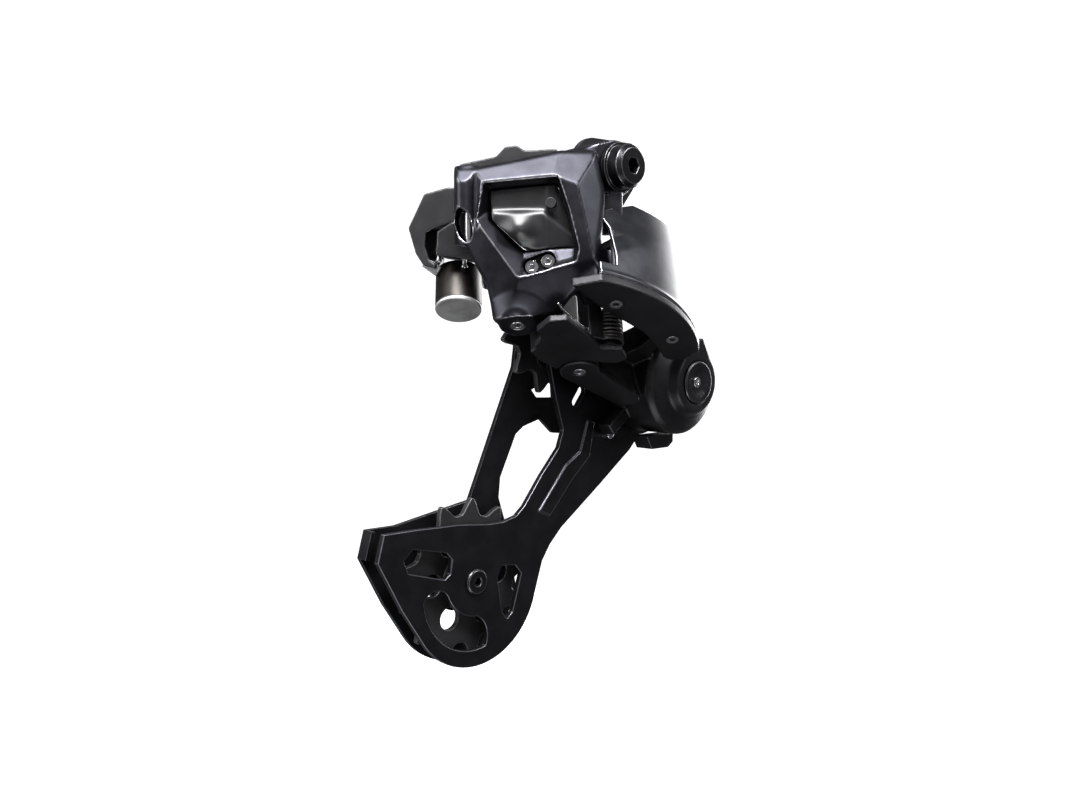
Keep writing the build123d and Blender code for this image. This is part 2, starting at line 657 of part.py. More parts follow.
with BuildPart() as inner_link:
    add(tube(pivot_plane(PIVOT_A, 0), KNUCKLE_R, 0, *A_KNUCKLE))
    add(tube(pivot_plane(PIVOT_C, 0), KNUCKLE_R, 0, *C_KNUCKLE))
    add(slab(link_plane(0), UPPER_ARM, *A_KNUCKLE))
    add(slab(link_plane(0), LINK_WEB, C_LOW, A_KNUCKLE[1]))
    add(slab(link_plane(0), LOWER_ARM, *C_KNUCKLE))
    # foot plate under the return spring
    add(slab(link_plane(0), SPRING_FOOT, C_LOW, C_LOW + C_EAR_T))
    # room for the ears of the lower body and of the bracket
    add(tube(pivot_plane(PIVOT_C, 0), EAR_R + 0.6, 0, C_LOW - 1, C_KNUCKLE[0] - 0.01), mode=Mode.SUBTRACT)
    add(tube(pivot_plane(PIVOT_C, 0), EAR_R + 0.6, 0, C_KNUCKLE[1], C_TOP + 6), mode=Mode.SUBTRACT)
    add(tube(pivot_plane(PIVOT_A, 0), KNUCKLE_R + 2.4, 0, C_LOW - 1, A_KNUCKLE[0]), mode=Mode.SUBTRACT)
    add(tube(pivot_plane(PIVOT_A, 0), BUSH_R, 0, *A_KNUCKLE), mode=Mode.SUBTRACT)
    add(tube(pivot_plane(PIVOT_C, 0), BUSH_R, 0, *C_KNUCKLE), mode=Mode.SUBTRACT)
save(inner_link.part, "inner_link")
with BuildPart() as inner_link_bushes:
    add(bush(PIVOT_A, *A_KNUCKLE))
    add(bush(PIVOT_C, *C_KNUCKLE))
save(inner_link_bushes.part, "inner_link_bushes")
save(link_pin(PIVOT_C, C_LOW, C_TOP), "inner_lower_pin")

SPRING_R = 4.9
SPRING_WIRE = 0.6
SPRING_TURNS = 7
SPRING_LOW = C_LOW + C_EAR_T + SPRING_WIRE + 0.1
SPRING_PITCH = 1.7
POST_R = 3.4
with BuildPart() as spring_post:
    post_plane = pivot_plane(SPRING_AT, 0)
    post_low = C_LOW + C_EAR_T
    add(tube(post_plane, POST_R, 0, post_low, post_low + SPRING_TURNS * SPRING_PITCH + 2.4))
save(spring_post.part, "spring_post")

with BuildPart() as return_spring:
    with BuildLine() as coil:
        Helix(
            pitch=SPRING_PITCH,
            height=SPRING_TURNS * SPRING_PITCH,
            radius=SPRING_R,
            center=pivot_plane(SPRING_AT, SPRING_LOW).origin,
            direction=PIN_DIR,
        )
    with BuildSketch(Plane(origin=coil.line @ 0, z_dir=coil.line % 0)):
        Circle(SPRING_WIRE)
    sweep(path=coil.line, is_frenet=True)
save(return_spring.part, "return_spring")

with BuildPart() as spring_arm:
    strip_end = [(-10.8, -0.6), (-6.4, -2.8), (-5.8, -1.8), (-10.0, 0.6)]
    add(slab(link_plane(0), [beside_spring(*at) for at in strip_end], C_LOW + C_EAR_T, 12.0))
save(spring_arm.part, "spring_arm")

# ================================================================ lower body with its clutch
pivot_axis = inboard(CAGE_PIVOT)
CAP_RECESS = 1.6
DRUM_CAVITY_OUTER = -6.4
drum_profile = [
    (0, DRUM_OUTER_FACE),
    (11.4, DRUM_OUTER_FACE),
    (12.0, DRUM_OUTER_FACE + 0.8),
    (13.4, -8.2),
    (DRUM_R - 1.6, -5.4),
    (DRUM_R, -3.4),
    (DRUM_R, DRUM_INNER_FACE),
    (0, DRUM_INNER_FACE),
]
AXLE_BUSH_R = AXLE_R + RUNNING + 1.4
SPRING_HOUSING_R = DRUM_R - DRUM_WALL
cavity_profile = [
    (0, DRUM_CAVITY_OUTER),
    (SPRING_HOUSING_R, -2.0),
    (SPRING_HOUSING_R, 20),
    (0, 20),
]
PIN_STOP_R = 29.4  # radius of the cage's stop pin about the cage pivot
PIN_STOP_ANGLE = 224.0
STOP_PIN_R = 1.8
STOP_PIN_REACH = 3.6
stop_centre = (
    CAGE_PIVOT[0] + PIN_STOP_R * cos(radians(PIN_STOP_ANGLE)),
    CAGE_PIVOT[1] + PIN_STOP_R * sin(radians(PIN_STOP_ANGLE)),
)
TAB_HALF = 2.4
TAB_TURN = PIN_STOP_ANGLE - degrees((TAB_HALF + STOP_PIN_R + 0.25) / PIN_STOP_R)
tab_plane = Plane(
    origin=(CAGE_PIVOT[0], DRUM_INNER_FACE, CAGE_PIVOT[1]),
    x_dir=(cos(radians(TAB_TURN)), 0, sin(radians(TAB_TURN))),
    z_dir=(0, -1, 0),
)
TAB_ENDS = (DRUM_R - 3, 31.6)  # radii about the cage pivot
BODY_ARM = [
    front(-3.8, 3.0),
    front(4.2, 2.6),
    front(6.2, 10.0),
    front(8.6, 15.5),
    front(19.6, 22),
    front(19.6, 33),
    front(3.6, 33),
    front(1.2, 24),
    front(0.8, 15),
]
EAR_ARM = [
    front(-17.4, 25.6),
    front(-10.4, 24.2),
    front(-1.4, 25.4),
    front(4.6, 27),
    front(15.6, 27),
    front(15.6, 36),
    front(-17.4, 36.4),
]
UPPER_EAR_BAR = [front(-17.4, 24.4), front(11.6, 25.2), front(11.6, 33.0), front(-17.4, 33.0)]
EAR_WEB = [front(-8.4, 25.4), front(13.6, 25.4), front(13.6, 34.0), front(-8.4, 34.0)]

with BuildPart() as lower_body:
    add(turned(pivot_axis, drum_profile))
    # teardrop boss round the cap, running up the drum
    with BuildSketch(side_plane(-5.0)):
        with Locations(CAGE_PIVOT):
            Circle(11.4)
            Polygon((-11.0, 3.0), (-4.6, 16.4), (3.6, 16.8), (11.0, 3.0), align=None)
    extrude(amount=-5.0 - DRUM_OUTER_FACE)
    # arm to the outer lower pivot
    add(tube(pivot_plane(PIVOT_D, 0), KNUCKLE_R, 0, *B_KNUCKLE))
    add(slab(link_plane(0), BODY_ARM, B_KNUCKLE[0], B_KNUCKLE[1] - 6))
    # ears of the inner lower pivot and the arm that carries them
    add(tube(pivot_plane(PIVOT_C, 0), EAR_R, 0, C_LOW, C_LOW + C_EAR_T))
    add(slab(link_plane(0), EAR_ARM, C_LOW, C_LOW + C_EAR_T))
    add(tube(pivot_plane(PIVOT_C, 0), KNUCKLE_R + 0.4, 0, C_KNUCKLE[1] + GAP, C_TOP))
    add(slab(link_plane(0), UPPER_EAR_BAR, C_KNUCKLE[1] + GAP, C_TOP))
    add(slab(link_plane(0), EAR_WEB, C_LOW, C_TOP))
    tab = [(reach, side * TAB_HALF) for side, reach in zip((-1, -1, 1, 1), (*TAB_ENDS, *TAB_ENDS[::-1]))]
    add(slab(tab_plane, tab, 0, 7.0))
    # hollow for the cage spring and the clutch, open inboard
    add(turned(pivot_axis, cavity_profile), mode=Mode.SUBTRACT)
    cap_floor = DRUM_OUTER_FACE + CAP_RECESS
    add(tube(pivot_axis, CAP_R, 0, DRUM_OUTER_FACE - 3, cap_floor), mode=Mode.SUBTRACT)
    add(tube(pivot_axis, 3.2, 0, DRUM_OUTER_FACE - 3, 0), mode=Mode.SUBTRACT)
    # cage side of the body is flat
    add(tube(inboard(CAGE_PIVOT, DRUM_INNER_FACE), 100, 0, 0, 20), mode=Mode.SUBTRACT)
    # bores
    add(tube(pivot_plane(PIVOT_D, 0), BUSH_R, 0, B_KNUCKLE[0] - 1, B_KNUCKLE[1] + 1), mode=Mode.SUBTRACT)
    add(tube(pivot_plane(PIVOT_C, 0), PIVOT_PIN_R, 0, C_LOW - 1, C_TOP + 1), mode=Mode.SUBTRACT)
save(lower_body.part, "lower_body")

CLUTCH_LOW = -1.6
CLUTCH_HIGH = 4.4
SPRING_FLOOR = 5.0
BACK_COVER = (DRUM_INNER_FACE - 2.2, DRUM_INNER_FACE)
with BuildPart() as body_cover:
    add(tube(pivot_axis, SPRING_HOUSING_R, AXLE_BUSH_R, *BACK_COVER))
save(body_cover.part, "body_cover")

with BuildPart() as axle_bush:
    add(tube(pivot_axis, AXLE_BUSH_R, AXLE_R + RUNNING, SPRING_FLOOR, BACK_COVER[1]))
save(axle_bush.part, "axle_bush")

ROLLER_RING_R = 11.4
BAND_R = 13.2
BAND_LUG = [(8.6, 8.6), (13.0, 8.6), (13.0, 11.4), (8.6, 11.4)]
with BuildPart() as roller_clutch:
    add(tube(pivot_axis, ROLLER_RING_R, AXLE_R + RUNNING, CLUTCH_LOW, CLUTCH_HIGH))
save(roller_clutch.part, "roller_clutch")

with BuildPart() as friction_band:
    add(tube(pivot_axis, BAND_R, ROLLER_RING_R, CLUTCH_LOW + 0.6, CLUTCH_HIGH - 0.6))
    add(slab(pivot_axis, BAND_LUG, CLUTCH_LOW + 0.6, CLUTCH_HIGH - 0.6))
    add(tube(pivot_axis, ROLLER_RING_R, 0, CLUTCH_LOW, CLUTCH_HIGH), mode=Mode.SUBTRACT)
save(friction_band.part, "friction_band")

with BuildPart() as clutch_cap:
    add(
        turned(
            pivot_axis,
            [
                (0, DRUM_OUTER_FACE + CAP_RECESS),
                (CAP_R, DRUM_OUTER_FACE + CAP_RECESS),
                (CAP_R, DRUM_OUTER_FACE - 0.4),
                (CAP_R - 0.6, DRUM_OUTER_FACE - 0.8),
                (CAP_R - 1.6, DRUM_OUTER_FACE - 0.8),
                (3.6, DRUM_OUTER_FACE + 0.4),
                (0, DRUM_OUTER_FACE + 0.5),
            ],
        )
    )
    add(tube(pivot_axis, 2.0, 0, DRUM_OUTER_FACE - 3, DRUM_OUTER_FACE + 4), mode=Mode.SUBTRACT)
save(clutch_cap.part, "clutch_cap")

with BuildPart() as cap_screw:
    add(tube(pivot_axis, 2.0, 0, DRUM_OUTER_FACE, -6.6))
    add(hex_prism(pivot_axis, 1.6, DRUM_OUTER_FACE, DRUM_OUTER_FACE + 1.0), mode=Mode.SUBTRACT)
save(cap_screw.part, "cap_screw")

CAGE_SPRING_R = 12.6
CAGE_SPRING_WIRE = 0.9
with BuildPart() as cage_spring:
    with BuildLine() as cage_coil:
        Helix(
            pitch=2.1,
            height=6.2,
            radius=CAGE_SPRING_R,
            center=(CAGE_PIVOT[0], SPRING_FLOOR + CAGE_SPRING_WIRE + 0.2, CAGE_PIVOT[1]),
            direction=(0, 1, 0),
        )
    with BuildSketch(Plane(origin=cage_coil.line @ 0, z_dir=cage_coil.line % 0)):
        Circle(CAGE_SPRING_WIRE)
    sweep(path=cage_coil.line, is_frenet=True)
save(cage_spring.part, "cage_spring")

ADJUSTER = [(-10.7, -0.8), (5.3, -0.8), (5.3, -4.0), (2.3, -6.0), (-7.7, -6.0)]  # under the drum
under_drum = Plane(origin=(CAGE_PIVOT[0], 6.0, CAGE_PIVOT[1] - DRUM_R), x_dir=(1, 0, 0), z_dir=(0, -1, 0))
with BuildPart() as clutch_adjuster:
    add(slab(under_drum, ADJUSTER, -6.0, 2.0))
    add(tube(pivot_axis, DRUM_R, 0, -20, 20), mode=Mode.SUBTRACT)
save(clutch_adjuster.part, "clutch_adjuster")

# ================================================================ cage
PULLEY_MID = CAGE_OUTER_FACE + OUTER_PLATE_T + CAGE_GAP / 2
INNER_PLATE_FACE = CAGE_OUTER_FACE + OUTER_PLATE_T + CAGE_GAP
PIVOT_FROM_TENSION = (CAGE_PIVOT[0] - CAGE_TENSION[0], CAGE_PIVOT[1] - CAGE_TENSION[1])
GUIDE_AXIS = (CAGE_TENSION[0] + GUIDE_FROM_TENSION[0], CAGE_TENSION[1] + GUIDE_FROM_TENSION[1])
BOLT_R = BUSH_BORE - 0.05
DUST_CAP_R = BEARING_R + 1.4
DUST_CAP_GAP = 0.25
BOLT_HEAD_R = 4.5
BOLT_HEAD_T = 1.5

foot_top = [
    (-38.0, 22.0),
    (-26.0, 21.8),
    (-7.0, 21.0),
    (6.0, 19.4),
    (13.0, 19.2),
    (19.5, 20.6),
    (23.4, 23.6),
]
outer_arm_back = [(32.0, 34.0), (41.0, 43.6), (43.4, 50.0), (39.0, 64.0), (34.4, 84.0)]
outer_arm_front = [(87.0, 45.2), (81.0, 39.4), (63.5, 27.3), (42.4, 13.2), (36.4, 7.6), (32.4, 2.0)]
foot_side = [(28.6, -9.3)]
slot_rear = [
    (-30.5, 12.2),
    (-28.6, 7.6),
    (-13.4, 2.8),
    (-11.0, 4.4),
    (-10.4, 9.6),
    (-12.6, 12.0),
    (-26.6, 15.4),
]
slot_front = [
    (10.2, -0.6),
    (12.2, 3.4),
    (18.6, 2.8),
    (21.8, -0.8),
    (17.4, -14.5),
    (14.8, -16.4),
    (12.4, -13.4),
]
rib = [
    (30.0, 21.0),
    (44.0, 36.6),
    (52.0, 41.4),
    (56.0, 53.0),
    (60.0, 52.0),
    (57.4, 39.0),
    (48.0, 31.0),
    (36.0, 18.4),
]


def foot_crescent():
    """Closed crescent-shaped window in the cage's foot, round the tension pulley's bolt."""
    with BuildLine() as edge:
        ThreePointArc((-22.4, -3.4), (-12.0, -21.0), (4.6, -24.0))
        ThreePointArc((4.6, -24.0), (5.2, -18.6), (0.8, -12.6))
        ThreePointArc((0.8, -12.6), (-7.4, -9.6), (-12.0, -3.4))
        ThreePointArc((-12.0, -3.4), (-17.6, -0.4), (-22.4, -3.4))
    return edge.line


with BuildPart() as outer_cage_plate:
    with BuildSketch(cage_plane(CAGE_OUTER_FACE)):
        with BuildLine():
            Polyline(*foot_top, *outer_arm_back)
            ThreePointArc(outer_arm_back[-1], (44.0, 104.0), (58.0, 97.0))
            Line((58.0, 97.0), (76.0, 84.0))
            ThreePointArc((76.0, 84.0), (104.0, 78.6), outer_arm_front[0])
            Polyline(*outer_arm_front, *foot_side)
            ThreePointArc(foot_side[0], (4.0, -30.4), (-22.8, -17.6))
            Polyline((-22.8, -17.6), (-31.4, -4.4), (-40.6, 12.8), foot_top[0])
        make_face()
        make_face(foot_crescent(), mode=Mode.SUBTRACT)
        Polygon(*slot_rear, align=None, mode=Mode.SUBTRACT)
        Polygon(*slot_front, align=None, mode=Mode.SUBTRACT)
        Circle(BOLT_R, mode=Mode.SUBTRACT)
        with Locations(GUIDE_FROM_TENSION):
            Circle(BOLT_R, mode=Mode.SUBTRACT)
        with Locations((51.4, 62.4)):
            SlotOverall(8.6, 3.4, rotation=52, mode=Mode.SUBTRACT)
        with Locations(PIVOT_FROM_TENSION):
            Circle(AXLE_R, mode=Mode.SUBTRACT)
    extrude(amount=-OUTER_PLATE_T)
    # raised rib along the arm
    with BuildSketch(cage_plane(CAGE_OUTER_FACE)):
        Polygon(*rib, align=None)
    extrude(amount=0.6, taper=30)
save(outer_cage_plate.part, "outer_cage_plate")

inner_arm_back = [(6.0, 26.6), (10.6, 36.6), (27.6, 74.0), (29.6, 88.0)]
inner_arm_front = [
    (60.4, 84.0),
    (58.0, 64.0),
    (53.4, 47.3),
    (47.9, 47.9),
    (41.1, 53.8),
    (32.5, 51.5),
    (28.6, 48.9),
    (20.8, 33.4),
    (20.0, 26.0),
]
INNER_WINDOW = [(36.6, 65.0), (39.2, 62.0), (48.2, 61.6), (47.8, 66.8), (44.4, 68.6)]
GUARD_TAB = [(-38.0, 22.0), (-40.6, 12.8), (-39.0, 12.4), (-36.6, 21.8)]
TAB_DEPTH = 3.2
with BuildPart() as inner_cage_plate:
    with BuildSketch(cage_plane(INNER_PLATE_FACE)):
        with BuildLine():
            Polyline((-38.0, 22.0), (-26.0, 21.8), *inner_arm_back)
            ThreePointArc(inner_arm_back[-1], (45.0, 106.0), inner_arm_front[0])
            Polyline(*inner_arm_front, (24.0, 14.0), foot_side[0])
            ThreePointArc(foot_side[0], (4.0, -30.4), (-22.8, -17.6))
            Polyline((-22.8, -17.6), (-31.4, -4.4), (-40.6, 12.8), (-38.0, 22.0))
        make_face()
        Polygon(*INNER_WINDOW, align=None, mode=Mode.SUBTRACT)
        make_face(foot_crescent(), mode=Mode.SUBTRACT)
        Circle(BOLT_R, mode=Mode.SUBTRACT)
        with Locations(GUIDE_FROM_TENSION):
            Circle(BOLT_R, mode=Mode.SUBTRACT)
    extrude(amount=-INNER_PLATE_T)
    # guard tab bent outboard at the rear corner
    add(slab(cage_plane(INNER_PLATE_FACE), GUARD_TAB, 0, TAB_DEPTH))
save(inner_cage_plate.part, "inner_cage_plate")

AXLE_OUTBOARD = CLUTCH_LOW
AXLE_FLANGE_R = 9.4
with BuildPart() as cage_axle:
    add(
        turned(
            pivot_axis,
            [
                (0, AXLE_OUTBOARD),
                (AXLE_R, AXLE_OUTBOARD),
                (AXLE_R, INNER_PLATE_FACE - CAGE_GAP),
                (AXLE_FLANGE_R, INNER_PLATE_FACE - CAGE_GAP),
                (AXLE_FLANGE_R, INNER_PLATE_FACE - CAGE_GAP + 1.6),
                (0, INNER_PLATE_FACE - CAGE_GAP + 1.6),
            ],
        )
    )
    add(tube(pivot_axis, 3.4, 0, AXLE_OUTBOARD - 1, 12.0), mode=Mode.SUBTRACT)
save(cage_axle.part, "cage_axle")

with BuildPart() as cage_seal:
    add(tube(pivot_axis, AXLE_R + 2.6, AXLE_R, DRUM_INNER_FACE + 0.3, CAGE_OUTER_FACE))
save(cage_seal.part, "cage_seal")

with BuildPart() as cage_stop_pin:
    add(tube(inboard(stop_centre), STOP_PIN_R, 0, CAGE_OUTER_FACE - STOP_PIN_REACH, CAGE_OUTER_FACE))
save(cage_stop_pin.part, "cage_stop_pin")

PITCH_R = CHAIN_PITCH / 2 / sin(pi / PULLEY_TEETH)
ROOT_R = PITCH_R - 3.6
TIP_R = PITCH_R + 2.0
WINDOWS = 6


def pulley(centre):
    """Toothed pulley with slender pointed teeth and round windows."""
    base = inboard(centre, PULLEY_MID)
    with BuildPart() as wheel:
        with BuildSketch(base.offset(-TOOTH_T / 2)):
            Circle(ROOT_R)
            with PolarLocations(0, PULLEY_TEETH):
                Polygon(
                    (ROOT_R - 1.0, -4.6),
                    (ROOT_R + 0.8, -3.2),
                    (PITCH_R, -1.9),
                    (TIP_R, -0.5),
                    (TIP_R, 0.5),
                    (PITCH_R, 1.9),
                    (ROOT_R + 0.8, 3.2),
                    (ROOT_R - 1.0, 4.6),
                    align=None,
                )
            with PolarLocations(15.0, WINDOWS):
                Circle(4.0, mode=Mode.SUBTRACT)
        extrude(amount=TOOTH_T)
        add(tube(base, BEARING_R + 2.2, BEARING_R - 0.5, -PULLEY_HUB / 2, PULLEY_HUB / 2))
        add(tube(base, BEARING_R, 0, -PULLEY_HUB, PULLEY_HUB), mode=Mode.SUBTRACT)
    return wheel.part


def pulley_set(centre, name):
    """One pulley with its bearing, inner bush, two dust caps and bolt."""
    base = inboard(centre, PULLEY_MID)
    half_gap = CAGE_GAP / 2
    save(pulley(centre), f"{name}_pulley")
    half_hub = PULLEY_HUB / 2
    save(tube(base, BEARING_R, BEARING_BORE + RUNNING, -half_hub, half_hub), f"{name}_bearing")
    save(tube(base, BEARING_BORE, BUSH_BORE, -half_gap, half_gap), f"{name}_bush")
    cap_low = half_hub + DUST_CAP_GAP
    with BuildPart() as caps:
        add(tube(base, DUST_CAP_R, BEARING_BORE, cap_low, half_gap))
        add(tube(base, DUST_CAP_R, BEARING_BORE, -half_gap, -cap_low))
    save(caps.part, f"{name}_dust_caps")
    outer_face = -half_gap - OUTER_PLATE_T
    with BuildPart() as bolt:
        add(tube(base, BOLT_R, 0, outer_face, half_gap + INNER_PLATE_T + 0.6))
        add(tube(base, BOLT_HEAD_R, 0, outer_face - BOLT_HEAD_T, outer_face))
        chamfer(bolt.faces().sort_by(Axis.Y)[0].edges(), 0.5)
        add(hex_prism(base, 3.0, outer_face - BOLT_HEAD_T, outer_face + 1.6), mode=Mode.SUBTRACT)
    save(bolt.part, f"{name}_bolt")


pulley_set(GUIDE_AXIS, "guide")
pulley_set(CAGE_TENSION, "tension")
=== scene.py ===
"""Rear bicycle derailleur: meshes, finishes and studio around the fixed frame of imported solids."""

import json
import logging
import math
from contextlib import contextmanager
from dataclasses import dataclass, field, replace
from enum import Enum
from typing import Any, Callable, Iterator, Sequence

import bmesh
import bpy
import numpy as np
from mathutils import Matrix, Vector


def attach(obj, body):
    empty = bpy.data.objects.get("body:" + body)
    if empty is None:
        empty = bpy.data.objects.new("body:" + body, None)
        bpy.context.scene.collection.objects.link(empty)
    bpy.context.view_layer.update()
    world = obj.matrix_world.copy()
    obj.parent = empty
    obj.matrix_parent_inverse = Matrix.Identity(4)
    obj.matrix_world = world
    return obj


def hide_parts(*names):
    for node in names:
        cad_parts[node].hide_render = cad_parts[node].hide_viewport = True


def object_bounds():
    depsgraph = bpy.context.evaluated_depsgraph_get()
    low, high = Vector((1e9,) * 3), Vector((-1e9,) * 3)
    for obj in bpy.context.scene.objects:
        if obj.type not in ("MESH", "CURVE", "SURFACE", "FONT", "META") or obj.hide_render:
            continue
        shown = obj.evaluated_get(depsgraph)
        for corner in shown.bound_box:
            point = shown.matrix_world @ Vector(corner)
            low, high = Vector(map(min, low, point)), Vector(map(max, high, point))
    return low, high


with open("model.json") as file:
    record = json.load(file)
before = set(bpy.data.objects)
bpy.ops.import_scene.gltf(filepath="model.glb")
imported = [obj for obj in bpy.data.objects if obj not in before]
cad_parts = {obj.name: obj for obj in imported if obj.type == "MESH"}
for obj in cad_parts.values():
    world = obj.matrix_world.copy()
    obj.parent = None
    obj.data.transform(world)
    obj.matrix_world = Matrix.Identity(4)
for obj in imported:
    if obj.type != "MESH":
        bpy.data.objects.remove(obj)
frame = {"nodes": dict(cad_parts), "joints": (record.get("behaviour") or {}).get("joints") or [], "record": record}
CAD_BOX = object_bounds()

MM = 0.001
EDGE = "edge"  # mesh attribute: 1 on a worn or machined edge, 0 on open faces
MERGE = 0.002  # points closer than this many millimetres become one
FLAT = 0.6  # degrees between facets that belong to one face
MIX_LOW, MIX_HIGH, MIX_RESULT = 6, 7, 2  # colour sockets of the Mix node
log = logging.getLogger("derailleur")

Colour = tuple[float, float, float]
Point = tuple[float, float]
Cell = tuple[int, int]  # row and column in a grid

OUTER_PIVOT = Vector((-9.7, -20.7, -47.2))  # upper end of the outer link's axis, in millimetres
INNER_PIVOT = (-17.4, 29.2, -3.4)  # upper end of the inner link's axis, in the link's axes
CAMERA_AT = Vector((-0.2608, -0.2479, -0.0537))  # metres


# ------------------------------------------------------------------ shader expressions
class Value:
    """A shader socket that can stand in a Python expression; each operation adds one Math node."""

    def __init__(self, graph: "Graph", socket: bpy.types.NodeSocket) -> None:
        """Wrap an output socket of a graph."""
        self.graph = graph
        self.socket = socket

    def _math(self, operation: str, left: Any, right: Any = 0.0) -> "Value":
        """Add one Math node and return its output."""
        node = self.graph.node("ShaderNodeMath", {"operation": operation}, {0: left, 1: right})
        return Value(self.graph, node.outputs[0])

    def __add__(self, other: Any) -> "Value":
        """Sum."""
        return self._math("ADD", self, other)

    __radd__ = __add__

    def __sub__(self, other: Any) -> "Value":
        """Difference."""
        return self._math("SUBTRACT", self, other)

    def __mul__(self, other: Any) -> "Value":
        """Product."""
        return self._math("MULTIPLY", self, other)

    __rmul__ = __mul__

    def sine(self) -> "Value":
        """Sine of the value in radians."""
        return self._math("SINE", self)

    def span(self, low: float, high: float) -> "Value":
        """Smooth step from 0 at low to 1 at high.

        Args:
            low: Value that gives 0.
            high: Value that gives 1.

        Returns:
            The stepped value.
        """
        node = self.graph.node(
            "ShaderNodeMapRange",
            {"interpolation_type": "SMOOTHSTEP"},
            {"Value": self, "From Min": low, "From Max": high},
        )
        return Value(self.graph, node.outputs["Result"])


class Graph:
    """The node tree of one material."""

    def __init__(self, name: str) -> None:
        """Make an empty material.

        Args:
            name: Name of the material.
        """
        self.material = bpy.data.materials.new(name)
        self.material.use_nodes = True
        self.tree = self.material.node_tree
        self.tree.nodes.clear()

    def node(self, kind: str, settings: dict[str, Any], inputs: dict[Any, Any]) -> bpy.types.Node:
        """Add a node of any type.

        Args:
            kind: Blender's name for the node type.
            settings: Properties of the node, set before its sockets.
            inputs: Numbers, colours or Value links by socket name or index.

        Returns:
            The new node.
        """
        node = self.tree.nodes.new(kind)
        for key, setting in settings.items():
            setattr(node, key, setting)
        for key, given in inputs.items():
            if isinstance(given, Value):
                self.tree.links.new(given.socket, node.inputs[key])
            else:
                node.inputs[key].default_value = given
        return node

    def value(self, kind: str, settings: dict[str, Any], inputs: dict[Any, Any], output: Any) -> Value:
        """Add a node and wrap one of its outputs."""
        return Value(self, self.node(kind, settings, inputs).outputs[output])

    def mix(self, amount: Value, low: Any, high: Any) -> Value:
        """Blend two colours: amount 0 gives low and 1 gives high."""
        settings = {"data_type": "RGBA", "clamp_factor": True}
        return self.value("ShaderNodeMix", settings, {0: amount, MIX_LOW: low, MIX_HIGH: high}, MIX_RESULT)

    def surface(self, inputs: dict[Any, Any]) -> bpy.types.Material:
        """Close the tree with a Principled shader.

        Args:
            inputs: The shader's inputs.

        Returns:
            The finished material.
        """
        shader = self.value("ShaderNodeBsdfPrincipled", {}, inputs, 0)
        self.node("ShaderNodeOutputMaterial", {}, {"Surface": shader})
        return self.material


# ------------------------------------------------------------------ finishes
class Texture(Enum):
    """How a surface was made, which decides its fine relief."""

    CAST = "blasted and anodised casting"
    MOULDED = "spark-eroded moulding"
    BRUSHED = "drawn or brushed metal"
    TURNED = "lathe-turned face"


